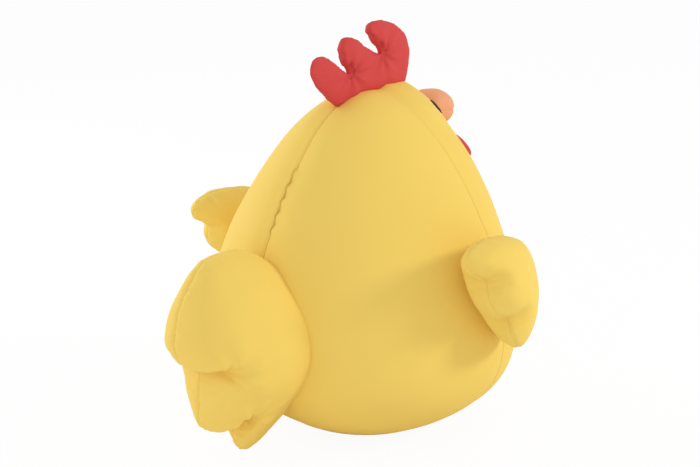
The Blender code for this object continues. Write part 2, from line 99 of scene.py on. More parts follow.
class Side(Enum):
    """The chicken's own left and right, as the sign of X."""

    LEFT = 1.0
    RIGHT = -1.0


class Lay(Enum):
    """How a limb's mid surface lies: flat, or curled about an upright axis."""

    FLAT = "flat"
    CURLED = "curled"


class Shading:
    """The nodes of one material: its surface shader, and what is added to feed it."""

    def __init__(self, name: str) -> None:
        """Start a node material of that name."""
        self.material = bpy.data.materials.new(name)
        self.material.use_nodes = True
        self.nodes, self.links = self.material.node_tree.nodes, self.material.node_tree.links
        self.shader = self.nodes["Principled BSDF"]
        self.place = self.nodes.new("ShaderNodeTexCoord").outputs["Object"]

    def feed(self, value: Socket, entry: str) -> None:
        """Link a value to an input of the surface shader."""
        self.links.new(value, self.shader.inputs[entry])

    def noise(self, scale: float, detail: float) -> Socket:
        """Noise over the piece's own coordinates.

        Args:
            scale: Features to the metre.
            detail: Octaves.

        Returns:
            The noise value's socket.
        """
        node = self.nodes.new("ShaderNodeTexNoise")
        node.inputs["Scale"].default_value = scale
        node.inputs["Detail"].default_value = detail
        self.links.new(self.place, node.inputs["Vector"])
        return node.outputs["Fac"]

    def remap(self, value: Socket, span: Span, target: Span) -> Socket:
        """Carry a value from one range to another, held at its ends.

        Args:
            value: Value to carry over.
            span: Its two ends.
            target: What they become.

        Returns:
            The new value's socket.
        """
        node = self.nodes.new("ShaderNodeMapRange")
        for name, number in zip(("From Min", "From Max", "To Min", "To Max"), (*span, *target)):
            node.inputs[name].default_value = number
        self.links.new(value, node.inputs["Value"])
        return node.outputs["Result"]

    def mix(self, first: Colour | Socket, second: Colour, share: Socket) -> Socket:
        """Mix two colours by a share.

        Args:
            first: Colour, or a socket that gives one, at a share of nothing.
            second: Colour at a full share.
            share: Share of the second colour.

        Returns:
            The mixed colour's socket.
        """
        node = self.nodes.new("ShaderNodeMix")
        node.data_type = "RGBA"
        if isinstance(first, tuple):
            node.inputs[MIX_FIRST].default_value = (*first, 1.0)
        else:
            self.links.new(first, node.inputs[MIX_FIRST])
        node.inputs[MIX_SECOND].default_value = (*second, 1.0)
        self.links.new(share, node.inputs[0])
        return node.outputs[MIX_RESULT]

    def bump(self, height: Socket, strength: float, depth: float) -> None:
        """Let a height tilt the surface shader's normal.

        Args:
            height: Height to read.
            strength: Share of the bump that shows.
            depth: Height of a full step, in metres.
        """
        node = self.nodes.new("ShaderNodeBump")
        node.inputs["Strength"].default_value = strength
        node.inputs["Distance"].default_value = depth
        self.links.new(height, node.inputs["Height"])
        self.feed(node.outputs["Normal"], "Normal")


@dataclass(frozen=True)
class Finish:
    """What a piece is made of: the name of its material, its slot and its base colour."""

    name: str
    slot: str
    base: Colour

    def material(self) -> bpy.types.Material:
        """Node material of this finish, made once and shared.

        Returns:
            The finished material.
        """
        found = bpy.data.materials.get(self.name)
        if found:
            return found
        shading = Shading(self.name)
        self.paint(shading)
        return shading.material

    def paint(self, shading: Shading) -> None:
        """Set the surface shader, which each kind of finish does in its own way."""
        raise NotImplementedError


@dataclass(frozen=True)
class Velour(Finish):
    """Short-pile cloth: a base colour that the brushed pile makes paler and deeper in patches."""

    pale: Colour
    deep: Colour
    sheen: float = 0.35
    sheen_tint: Colour = (1.0, 0.98, 0.88)
    sheen_roughness: float = 0.8
    gloss: float = 0.12
    pile_scale: float = 900.0
    brush_scale: float = 60.0
    cloud_scale: float = 9.0
    fine_detail: float = 2.0
    brush_detail: float = 4.0
    patch_range: Span = (0.35, 0.75)
    tuft_range: Span = (0.55, 0.25)
    rough_range: Span = (0.3, 0.7)
    pale_share: float = 0.55
    cloud_share: float = 0.35
    tuft_share: float = 0.45
    roughness: Span = (0.82, 0.98)
    bump: float = 0.3
    bump_depth: float = 0.0008

    def paint(self, shading: Shading) -> None:
        """Take colour, roughness and bump from three scales of noise: pile, brush marks and clouds.

        Args:
            shading: Nodes to add to.
        """
        inputs = shading.shader.inputs
        inputs["Sheen Weight"].default_value = self.sheen
        inputs["Sheen Roughness"].default_value = self.sheen_roughness
        inputs["Sheen Tint"].default_value = (*self.sheen_tint, 1.0)
        inputs["Specular IOR Level"].default_value = self.gloss
        pile = shading.noise(self.pile_scale, self.fine_detail)
        brush = shading.noise(self.brush_scale, self.brush_detail)
        cloud = shading.noise(self.cloud_scale, self.fine_detail)
        colour: Colour | Socket = self.base
        for other, value, span, share in ((self.pale, brush, self.patch_range, self.pale_share),
                                          (self.deep, cloud, self.patch_range, self.cloud_share),
                                          (self.deep, pile, self.tuft_range, self.tuft_share)):
            colour = shading.mix(colour, other, shading.remap(value, span, (0.0, share)))
        shading.feed(colour, "Base Color")
        shading.feed(shading.remap(brush, self.rough_range, self.roughness), "Roughness")
        height = shading.nodes.new("ShaderNodeMath")
        height.operation = "ADD"
        shading.links.new(pile, height.inputs[0])
        shading.links.new(brush, height.inputs[1])
        shading.bump(height.outputs[0], self.bump, self.bump_depth)


@dataclass(frozen=True)
class Thread(Finish):
    """Twisted or satin-stitched thread: fine ridges whose tops are painted the lighter lit colour, a painted
    highlight, over the thread's deeper colour.
    """

    # Painted highlight: the colour that the ridge tops are painted.
    lit: Colour
    ridge_scale: float = 700.0
    roughness: Span = (0.45, 0.75)
    rough_range: Span = (0.3, 0.7)
    sheen: float = 0.15
    twist: float = 1.5
    fuzz_scale: float = 900.0
    fuzz_detail: float = 2.0
    bump: float = 0.5
    bump_depth: float = 0.0003

    def paint(self, shading: Shading) -> None:
        """Paint a highlight on the tops of fine wave ridges for the strands, take bump from the same ridges,
        and roughness from noise.

        Args:
            shading: Nodes to add to.
        """
        shading.shader.inputs["Sheen Weight"].default_value = self.sheen
        wave = shading.nodes.new("ShaderNodeTexWave")
        wave.bands_direction = "DIAGONAL"
        wave.inputs["Scale"].default_value = self.ridge_scale
        wave.inputs["Distortion"].default_value = self.twist
        shading.links.new(shading.place, wave.inputs["Vector"])
        ridges = wave.outputs["Fac"]
        # Painted highlight: the ridges mix the thread's colour towards the lighter lit colour.
        shading.feed(shading.mix(self.base, self.lit, ridges), "Base Color")
        fuzz = shading.noise(self.fuzz_scale, self.fuzz_detail)
        shading.feed(shading.remap(fuzz, self.rough_range, self.roughness), "Roughness")
        shading.bump(ridges, self.bump, self.bump_depth)


YELLOW = Velour("yellow_velour", "yellow_velour", (0.80, 0.60, 0.085), (0.84, 0.66, 0.14),
                (0.75, 0.52, 0.055), sheen=1.0)
RED = Velour("red_velour", "red_velour", (0.58, 0.031, 0.032), (0.70, 0.085, 0.078), (0.42, 0.014, 0.017),
             sheen=0.45, sheen_tint=(1.0, 0.55, 0.52), brush_scale=85.0, cloud_scale=26.0)
ORANGE = Velour("orange_velour", "orange_velour", (0.83, 0.37, 0.18), (0.88, 0.46, 0.27),
                (0.72, 0.27, 0.10), sheen=0.3, sheen_tint=(1.0, 0.85, 0.7))
FIBRE = Velour("fibre_fill", "fibre_fill", (0.82, 0.81, 0.78), (0.90, 0.89, 0.87), (0.66, 0.65, 0.62),
               sheen=0.2, pile_scale=420.0, bump=0.6)
# The second colour of each thread is the painted highlight on its ridge tops.
EYE_THREAD = Thread("eye_thread", "eye_thread", (0.012, 0.009, 0.008), (0.05, 0.038, 0.032))
SEWING_THREAD = Thread("sewing_thread", "yellow_velour", (0.66, 0.44, 0.055), (0.76, 0.55, 0.08), 900.0,
                       (0.7, 1.0))


def make_piece(name: str, points: Array, faces: Sequence[Sequence[int]],
               finish: Finish) -> Piece:
    """A smooth mesh object at the origin with one finish.

    Args:
        name: Object name.
        points: Corner positions, in metres.
        faces: Corner numbers of each face.
        finish: Cloth or thread that it is made of.

    Returns:
        The new object.
    """
    mesh = bpy.data.meshes.new(name)
    mesh.from_pydata(np.asarray(points, dtype=float).tolist(), [], [list(map(int, face)) for face in faces])
    mesh.shade_smooth()
    mesh.materials.append(finish.material())
    piece = bpy.data.objects.new(name, mesh)
    bpy.context.scene.collection.objects.link(piece)
    return piece


def dress(piece: Piece, body: str, node: str | None = None,
          bend: tuple[Vector, Vector] | None = None) -> Piece:
    """Fix a piece to its body and hide the solid that it stands for; a piece with a sewn root is not fixed,
    and its place is only baked into its mesh.

    Args:
        piece: Object to fix.
        body: Body that it moves with.
        node: Solid that it stands for, if any.
        bend: Where a sewn root starts and stops bending; only whether it is given is read.

    Returns:
        The same object.
    """
    if bend:
        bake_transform(piece)
    else:
        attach(piece, body)
    if node:
        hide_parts(node)
    return piece


def mesh_arrays(mesh: bpy.types.Mesh) -> tuple[Array, Array]:
    """Points and triangles of a mesh.

    Args:
        mesh: Mesh to read.

    Returns:
        Points as rows of three, and triangles as rows of three corner numbers.
    """
    points = np.zeros(len(mesh.vertices) * 3)
    mesh.vertices.foreach_get("co", points)
    mesh.calc_loop_triangles()
    corners = np.zeros(len(mesh.loop_triangles) * 3, dtype=np.int32)
    mesh.loop_triangles.foreach_get("vertices", corners)
    return points.reshape(-1, 3), corners.reshape(-1, 3)


def finished_mesh(piece: Piece) -> bpy.types.Mesh:
    """Bake a piece's modifiers into its mesh.

    Args:
        piece: Object whose modifiers are applied and removed.

    Returns:
        The new mesh, which the piece now holds.
    """
    bpy.context.view_layer.update()
    graph = bpy.context.evaluated_depsgraph_get()
    mesh = bpy.data.meshes.new_from_object(piece.evaluated_get(graph))
    piece.modifiers.clear()
    old = piece.data
    piece.data = mesh
    bpy.data.meshes.remove(old)
    return mesh


def unit(vectors: Array) -> Array:
    """Vectors along the last axis, brought to a length of one."""
    return vectors / np.maximum(np.linalg.norm(vectors, axis=-1, keepdims=True), TINY)


def triangle_sides(triangles: Array) -> Array:
    """The three sides of every triangle, as rows of two corner numbers."""
    return np.concatenate([triangles[:, [0, 1]], triangles[:, [1, 2]], triangles[:, [2, 0]]])


def corner_normals(points: Array, triangles: Array) -> Array:
    """Unit normals at the points: the sum of the crossed sides of the triangles round each.

    Args:
        points: Rows of three.
        triangles: Rows of three corner numbers.

    Returns:
        One unit normal for each point.
    """
    first, second, third = (points[triangles[:, corner]] for corner in range(3))
    crossed = np.cross(second - first, third - first)
    normals = np.zeros_like(points)
    for corner in range(3):
        np.add.at(normals, triangles[:, corner], crossed)
    return unit(normals)


def neighbour_mean(values: Array, triangles: Array) -> Array:
    """Mean of the values at the points that share a side with each point of a closed or open mesh.

    Args:
        values: One row for each point.
        triangles: Rows of three corner numbers.

    Returns:
        One row for each point.
    """
    sides = triangle_sides(triangles)
    total = np.zeros_like(values)
    np.add.at(total, sides[:, 0], values[sides[:, 1]])
    count = np.bincount(sides[:, 0], minlength=len(values))
    return total / np.maximum(count, 1).reshape((-1,) + (1,) * (values.ndim - 1))


def soft_waves(points: Array, length: float, seed: int) -> Array:
    """Smooth unevenness between about -1 and 1: the mean of sine waves in seeded directions.

    Args:
        points: Rows of three, in metres.
        length: Wave length, in metres.
        seed: Seed of the directions and phases.

    Returns:
        One value for each point.
    """
    draw = np.random.default_rng(seed)
    directions = unit(draw.normal(size=(WAVE_COUNT, 3)))
    lengths = length * draw.uniform(*WAVE_SPREAD, WAVE_COUNT)
    phases = draw.uniform(0.0, FULL_TURN, WAVE_COUNT)
    return WAVE_GAIN * np.sin(FULL_TURN * points @ (directions / lengths[:, None]).T + phases).mean(axis=1)


def bell(distance: Array, width: float) -> Array:
    """Bell curve: one at no distance, a third at one width."""
    return np.exp(-((distance / width) ** 2))


def ramp(value: Array, low: float, high: float) -> Array:
    """Smooth step from nothing at low to one at high."""
    share = np.clip((value - low) / (high - low), 0.0, 1.0)
    return share * share * (3.0 - 2.0 * share)


def grid_shell(name: str, outer: Array, thickness: float, finish: Finish) -> Piece:
    """A closed sheet of cloth on a grid: its outer face, the same face drawn in, and the rim between.

    Args:
        name: Object name.
        outer: Grid of outer points, rows by columns by three. The step to the next row, the step to the
            next column and the outside are right-handed, in that order.
        thickness: How far the inner face lies inside.
        finish: Cloth it is made of.

    Returns:
        The new object.
    """
    rows, columns = outer.shape[:2]
    first = (np.arange(rows - 1)[:, None] * columns + np.arange(columns - 1)).ravel()
    quads = np.stack([first, first + columns, first + columns + 1, first + 1], axis=1)
    points = outer.reshape(-1, 3)
    triangles = np.concatenate([quads[:, [0, 1, 2]], quads[:, [0, 2, 3]]])
    inner = points - thickness * corner_normals(points, triangles)
    count = len(points)
    border = np.concatenate([np.arange(columns), np.arange(2, rows) * columns - 1,
                             np.arange(rows * columns - 1, (rows - 1) * columns - 1, -1),
                             np.arange((rows - 2) * columns, 0, -columns)])
    after = np.roll(border, -1)
    rim = np.stack([border, after, after + count, border + count], axis=1)
    faces = np.concatenate([quads, quads[:, ::-1] + count, rim])
    return make_piece(name, np.concatenate([points, inner]), faces, finish)


def ring_faces(rows: int, columns: int) -> list[list[int]]:
    """Faces of a stack of closed rings, with both ends capped.

    Args:
        rows: How many rings.
        columns: Points in each ring.

    Returns:
        Corner numbers of each face.
    """
    first = np.arange((rows - 1) * columns)
    after = first - first % columns + (first + 1) % columns
    quads = np.stack([first, after, after + columns, first + columns], axis=1).tolist()
    return quads + [list(range(columns - 1, -1, -1)), list(range((rows - 1) * columns, rows * columns))]


@dataclass(frozen=True)
class Swell:
    """A broad swelling or hollow of the body: how far it stands out, and its place and reach."""

    rise: float
    angle: float
    angle_reach: float
    level: float
    level_reach: float

    def at(self, angle: Array, height: Array) -> Array:
        """Outward offset at angles and heights, the same on both sides of the body."""
        aside = bell(np.abs(angle) - self.angle, self.angle_reach)
        return self.rise * aside * bell(height - self.level, self.level_reach)


@dataclass
class BodyForm:
    """Egg shape of the body, and the marks that its seams leave."""

    height: float = 0.300
    widest_height: float = 0.105
    half_width: float = 0.138
    back_depth: float = 0.134
    front_depth: float = 0.130
    seat_radius: float = 0.048
    crown_back: float = 0.006
    crown_front: float = 0.040
    crown_slit: float = 0.0024
    upper_fullness: Span = (1.7, 0.625)
    lower_fullness: Span = (2.6, 0.85)
    base_seam: float = 0.010
    side_seam: float = 105.0
    seam_depth: float = 0.0011
    seam_width: float = 0.0017
    valley_depth: float = 0.0022
    valley_width: float = 0.013
    stitch_low: float = 0.190
    stitch_high: float = 0.241
    stitch_pitch: float = 0.0112
    stitch_sway: float = 0.0011
    stitch_fade: float = 0.006
    stitch_pucker: float = 0.0004
    pucker_aside: float = 0.003
    pucker_width: float = 0.004
    side_depth: float = 0.0006
    side_valley: float = 0.010
    base_depth: float = 0.0012
    base_width: float = 0.002
    uneven: tuple[Waves, ...] = ((0.0011, 0.16, 5), (0.0003, 0.045, 9))
    shoulder: Swell = Swell(-0.0035, 50.0, 38.0, 0.225, 0.05)
    haunch: Swell = Swell(0.0035, 135.0, 40.0, 0.050, 0.03)
    brow_rise: float = 0.0032
    brow_reach: float = 14.0
    brow_heights: Span = (0.258, 0.284)
    fade_heights: Span = (0.004, 0.03)

    def half_sizes(self, height: Array) -> tuple[Array, Array, Array]:
        """Half width, depth behind and depth in front at a height.

        Above the widest level each size falls from its greatest to its crown size as (1 - r^p)^q of the
        rise r, and below it falls to the seat's radius in the same way.

        Args:
            height: Heights above the floor.

        Returns:
            The three half sizes.
        """
        height = np.asarray(height, dtype=float)
        rise = np.clip((height - self.widest_height) / (self.height - self.widest_height), 0.0, 1.0)
        fall = np.clip((self.widest_height - height) / self.widest_height, 0.0, 1.0)
        upper = (1.0 - rise ** self.upper_fullness[0]) ** self.upper_fullness[1]
        lower = (1.0 - fall ** self.lower_fullness[0]) ** self.lower_fullness[1]
        above = height >= self.widest_height
        sizes = []
        for widest, crown in ((self.half_width, 0.0), (self.back_depth, self.crown_back),
                              (self.front_depth, self.crown_front)):
            top = crown + (widest - crown) * upper
            bottom = self.seat_radius + (widest - self.seat_radius) * lower
            sizes.append(np.where(above, top, bottom))
        return sizes[0], sizes[1], sizes[2]

    def point(self, angle: Array, height: Array) -> Array:
        """Point on the smooth body: an ellipse at each height, the angle from the rear towards the left.

        Args:
            angle: Angles in degrees.
            height: Heights above the floor.

        Returns:
            Points, with their three numbers last.
        """
        turn = np.radians(angle)
        width, back, front = self.half_sizes(height)
        depth = np.where(np.cos(turn) > 0.0, back, front)
        return np.stack(np.broadcast_arrays(width * np.sin(turn), depth * np.cos(turn), height), axis=-1)

    def crown_height(self) -> float:
        """Height at which the top is as wide as the slit that the comb is sewn into."""
        share = self.crown_slit / 2.0 / self.half_width
        rise = (1.0 - share ** (1.0 / self.upper_fullness[1])) ** (1.0 / self.upper_fullness[0])
        return self.widest_height + rise * (self.height - self.widest_height)

    def heights(self, low: float, high: float, rows: int) -> Array:
        """Heights that crowd towards the floor and the crown: evenly spaced latitudes.

        Args:
            low: First height.
            high: Last height.
            rows: How many.

        Returns:
            The heights.
        """
        levels = np.array([low, high]) - self.widest_height
        reach = np.where(levels > 0.0, self.height - self.widest_height, self.widest_height)
        ends = np.arcsin(np.clip(levels / reach, -1.0, 1.0))
        turn = np.linspace(ends[0], ends[1], rows)
        reach = np.where(turn > 0.0, self.height - self.widest_height, self.widest_height)
        return self.widest_height + reach * np.sin(turn)

    def top_line(self, rearward: Array) -> Array:
        """Height of the middle line over the head at distances rearward of the middle.

        Args:
            rearward: Distances towards the tail, in metres.

        Returns:
            Heights above the floor.
        """
        heights = self.heights(self.widest_height, self.height, TOP_LINE_POINTS)
        _, back, front = self.half_sizes(heights)
        behind = np.interp(-np.asarray(rearward), -back, heights)
        ahead = np.interp(np.asarray(rearward), -front, heights)
        return np.where(np.asarray(rearward) > 0.0, behind, ahead)

    def marks(self, angle: Array, height: Array, points: Array) -> Array:
        """Outward relief of the cloth: seams draw in, the filling swells beside them.

        Args:
            angle: Angles of the grid in degrees, from -180 to 180.
            height: Heights of the grid.
            points: Smooth points of the grid.

        Returns:
            Outward offsets in metres.
        """
        width, back, _ = self.half_sizes(height)
        sewn = (ramp(height, self.stitch_low - self.stitch_fade, self.stitch_low)
                - ramp(height, self.stitch_high, self.stitch_high + self.stitch_fade))
        phase = FULL_TURN * height / self.stitch_pitch
        around = np.abs(np.radians(angle) * width - self.stitch_sway * sewn * np.sin(phase))
        seam = (self.seam_depth * bell(around, self.seam_width)
                + self.valley_depth * bell(around, self.valley_width))
        wave = np.sin(phase + np.where(angle > 0.0, math.pi, 0.0))
        pucker = self.stitch_pucker * sewn * wave * bell(around - self.pucker_aside, self.pucker_width)
        aside = np.radians(np.abs(np.abs(angle) - self.side_seam)) * np.maximum(width, back)
        side = self.side_depth * (bell(aside, self.seam_width) + bell(aside, self.side_valley))
        base = self.base_depth * bell(height - self.base_seam, self.base_width)
        rows = points.reshape(-1, 3)
        waves = sum(depth * soft_waves(rows, length, seed) for depth, length, seed in self.uneven)
        swell = self.haunch.at(angle, height) + self.shoulder.at(angle, height)
        face = ramp(np.abs(angle), self.side_seam, self.side_seam + self.brow_reach)
        brow = self.brow_rise * face * ramp(height, *self.brow_heights)
        fade = ramp(height, *self.fade_heights)
        return (waves.reshape(height.shape) + pucker + swell + brow - seam - side) * fade - base


@dataclass
class Torso:
    """Body panels, filling, eyes and the hand-sewn closing."""

    form: BodyForm = field(default_factory=BodyForm)
    rows: int = 150
    back_columns: int = 84
    front_columns: int = 110
    seam_crowd: float = 0.6
    cloth_fill: float = 0.85
    base_columns: int = 241
    base_rows: int = 10
    base_rings: int = 12
    base_reach: Span = (0.04, 0.96)
    base_nip: float = 0.012
    eye_angle: float = 148.0
    eye_height: float = 0.277
    eye_radius: float = 0.0080
    eye_lift: float = 0.0008
    eye_clear: float = 0.0004
    eye_thickness: float = 0.0005
    eye_middle: float = 0.02
    eye_rings: int = 16
    eye_columns: int = 73
    eye_step: float = 0.004
    ridge_depth: float = 0.00012
    ridge_pitch: float = 0.0009
    thread_radius: float = 0.00032
    thread_sway: float = 0.0011
    thread_snap: float = 1.6
    thread_points: int = 24
    thread_sides: int = 8
    filling_gap: float = 0.0030
    filling_low: float = 0.0045
    filling_high: float = 0.2955
    filling_rows: int = 110
    filling_columns: int = 180
    filling_fill: float = 0.9
    lumps: Waves = (0.0005, 0.03, 21)

    def panel_grid(self, start: float, stop: float, columns: int, low: float, high: float,
                   rows: int, lift: float = 0.0) -> Array:
        """Outer points of a panel, with columns that crowd towards both of its seams.

        Args:
            start: Angle of the first seam, in degrees.
            stop: Angle of the last seam.
            columns: Points from seam to seam.
            low: Lowest height.
            high: Highest height.
            rows: Points from bottom to top.
            lift: How far outside the cloth's outer face the points lie.

        Returns:
            Grid of points, rows by columns by three.
        """
        even = np.linspace(0.0, 1.0, columns)
        crowded = (1.0 - np.cos(math.pi * even)) / 2.0
        share = self.seam_crowd * crowded + (1.0 - self.seam_crowd) * even
        heights, angles = np.meshgrid(self.form.heights(low, high, rows), start + (stop - start) * share,
                                      indexing="ij")
        smooth = self.form.point(angles, heights)
        normal = unit(np.cross(np.gradient(smooth, axis=0), np.gradient(smooth, axis=1)))
        wrapped = (angles + 180.0) % 360.0 - 180.0
        return smooth + normal * (self.form.marks(wrapped, heights, smooth) + lift)[..., None]

    def build(self) -> list[Piece]:
        """Make the torso's pieces.

        Returns:
            The new objects.
        """
        form = self.form
        side, top = form.side_seam, form.crown_height()
        pieces = []
        for name, start, stop, columns in (("body_back_left", 0.0, side, self.back_columns),
                                           ("body_back_right", -side, 0.0, self.back_columns),
                                           ("body_front", side, 360.0 - side, self.front_columns)):
            grid = self.panel_grid(start, stop, columns, form.base_seam, top, self.rows)
            piece = grid_shell(name + "_cloth", grid, CLOTH_THICKNESS, YELLOW)
            pieces.append(dress(piece, "torso", name))
        pieces.append(self.build_base())
        pieces.append(self.build_filling())
        pieces.extend(self.build_eye(which) for which in Side)
        pieces.append(self.build_closing())
        return pieces

    def build_base(self) -> Piece:
        """Seat panel: a dish of rings that end on the flat of the seat.

        Returns:
            The new object.
        """
        form = self.form
        angles = np.linspace(-180.0, 180.0, self.base_columns)
        levels = form.heights(0.0, form.base_seam, self.base_rows)
        heights, turns = np.meshgrid(levels, angles, indexing="ij")
        rim = form.point(turns, heights)
        rim[..., :2] *= (1.0 - self.base_nip * bell(heights - form.base_seam, form.base_width))[..., None]
        flat = rim[0][None] * np.linspace(*self.base_reach, self.base_rings)[:, None, None]
        piece = grid_shell("body_base_cloth", np.concatenate([flat, rim]), CLOTH_THICKNESS, YELLOW)
        face_out(piece.data, NEAR, ring=True)
        return dress(piece, "torso", "body_base")

    def build_filling(self) -> Piece:
        """Fibre filling: the body's form just under the cloth, seam hollows and all, with small lumps.

        Returns:
            The new object.
        """
        depth, length, seed = self.lumps
        grid = self.panel_grid(0.0, 360.0, self.filling_columns + 1, self.filling_low, self.filling_high,
                               self.filling_rows, -self.filling_gap)[:, :-1]
        lumps = depth * soft_waves(grid.reshape(-1, 3), length, seed).reshape(grid.shape[:2])
        grid = grid * (1.0 + lumps / self.form.half_width)[..., None]
        piece = make_piece("body_filling", grid.reshape(-1, 3), ring_faces(*grid.shape[:2]), FIBRE)
        return dress(piece, "torso", "body_stuffing")

    def build_eye(self, which: Side) -> Piece:
        """Embroidered eye: a low dome on the face whose thread lies in ridges.

        The lift falls off as one minus the fourth power of the radius, plus a small cosine across.

        Args:
            which: Left or right.

        Returns:
            The new object.
        """
        form, angle, height = self.form, which.value * self.eye_angle, self.eye_height
        spread, turn = np.meshgrid(np.linspace(self.eye_middle, 1.0, self.eye_rings),
                                   np.linspace(FULL_TURN, 0.0, self.eye_columns), indexing="ij")
        across = self.eye_radius * spread * np.cos(turn)
        upward = self.eye_radius * spread * np.sin(turn)
        here = form.point(angle, height)
        tangent = form.point(angle + 1.0, height) - here
        climb = form.point(angle, height + self.eye_step) - here
        angles = angle + across / np.linalg.norm(tangent)
        heights = height + upward * self.eye_step / np.linalg.norm(climb)
        smooth = form.point(angles, heights)
        ridges = self.ridge_depth * np.cos(FULL_TURN * across / self.ridge_pitch)
        lift = self.eye_lift * (1.0 - spread ** 4) + ridges * (1.0 - spread ** 6) + self.eye_clear
        lift = lift + form.marks(angles, heights, smooth)
        outer = smooth + unit(np.cross(climb, tangent)) * lift[..., None]
        name = f"eye_{which.name.lower()}"
        piece = grid_shell(name + "_stitching", outer, self.eye_thickness, EYE_THREAD)
        face_out(piece.data, NEAR, ring=True)
        return dress(piece, "torso", name)

    def build_closing(self) -> Piece:
        """Ladder stitch that closes the back seam: a thread that steps from side to side as it climbs.

        Returns:
            The new object.
        """
        form = self.form
        count = int((form.stitch_high - form.stitch_low) / form.stitch_pitch) * self.thread_points
        climb = np.linspace(form.stitch_low, form.stitch_high, count)
        step = self.thread_snap * np.sin(FULL_TURN * climb / form.stitch_pitch)
        aside = self.thread_sway * np.clip(step, -1.0, 1.0)
        width, _, _ = form.half_sizes(climb)
        path = form.point(np.degrees(aside / width), climb)
        outward = unit(np.stack([path[:, 0] / width, path[:, 1], np.zeros_like(climb)], axis=1))
        dip = form.seam_depth * bell(aside, form.seam_width) + form.valley_depth
        path = path - outward * (dip - self.thread_radius)[:, None]
        points, faces = tube(path, self.thread_radius, self.thread_sides)
        return dress(make_piece("closing_stitch", points, faces, SEWING_THREAD), "torso")


def face_out(mesh: bpy.types.Mesh, gap: float, ring: bool = False) -> None:
    """Merge doubled points, close a ring's middle and turn every face outwards.

    Args:
        mesh: Mesh to mend.
        gap: Distance within which points are merged.
        ring: Whether it is a grid that goes once round, so that its first and last columns meet.
    """
    work = bmesh.new()
    work.from_mesh(mesh)
    bmesh.ops.remove_doubles(work, verts=work.verts, dist=gap)
    if ring:
        doubled = [face for face in work.faces if face.calc_area() < TINY
                   and not all(edge.is_manifold for edge in face.edges)]
        bmesh.ops.delete(work, geom=doubled, context="FACES")
        bmesh.ops.holes_fill(work, edges=[edge for edge in work.edges if edge.is_boundary], sides=0)
    bmesh.ops.recalc_face_normals(work, faces=work.faces)
    work.to_mesh(mesh)
    work.free()
    mesh.shade_smooth()


def tube(path: Array, radius: float, sides: int) -> tuple[Array, list[list[int]]]:
    """A round profile carried along a path, with closed ends.

    Args:
        path: Points along the middle.
        radius: Radius of the tube.
        sides: Corners of its profile.

    Returns:
        Points and faces.
    """
    along = unit(np.gradient(path, axis=0))
    side = unit(np.cross(along, np.array(REARWARD)))
    up = np.cross(side, along)
    turn = np.linspace(0.0, FULL_TURN, sides, endpoint=False)
    ring = np.cos(turn)[None, :, None] * side[:, None] + np.sin(turn)[None, :, None] * up[:, None]
    return (path[:, None] + radius * ring).reshape(-1, 3), ring_faces(len(path), sides)


def walk_along(line: Array) -> Array:
    """Distance walked along a line from its first point to each of its points."""
    return np.concatenate([[0.0], np.cumsum(np.linalg.norm(np.diff(line, axis=0), axis=1))])


def even_points(line: Array, walk: Array, count: int) -> Array:
    """Points spread evenly along a line.

    Args:
        line: Points as rows of two.
        walk: Distance walked to each of them.
        count: How many new points.

    Returns:
        Points as rows of two.
    """
    even = np.linspace(0.0, walk[-1], count)
    return np.stack([np.interp(even, walk, line[:, 0]), np.interp(even, walk, line[:, 1])], axis=1)


def smooth_span(knots: Knots, step: float) -> Array:
    """Points a step apart on a cubic curve through the knots, with slopes from its neighbours.

    Args:
        knots: Points that the curve goes through.
        step: Distance between the new points.

    Returns:
        Points as rows of two.
    """
    knots = np.asarray(knots, dtype=float)
    chord = np.linalg.norm(np.diff(knots, axis=0), axis=1)
    place = np.concatenate([[0.0], np.cumsum(np.sqrt(chord))])
    slopes = np.gradient(knots, place, axis=0)
    fine = np.linspace(0.0, place[-1], CURVE_POINTS)
    left = np.clip(np.searchsorted(place, fine, side="right") - 1, 0, len(knots) - 2)
    width = (place[left + 1] - place[left])[:, None]
    t = ((fine - place[left]) / (place[left + 1] - place[left]))[:, None]
    curve = (knots[left] * (2 * t ** 3 - 3 * t ** 2 + 1) + knots[left + 1] * (3 * t ** 2 - 2 * t ** 3)
             + slopes[left] * width * (t ** 3 - 2 * t ** 2 + t)
             + slopes[left + 1] * width * (t ** 3 - t ** 2))
    walk = walk_along(curve)
    return even_points(curve, walk, max(2, int(round(walk[-1] / step)) + 1))


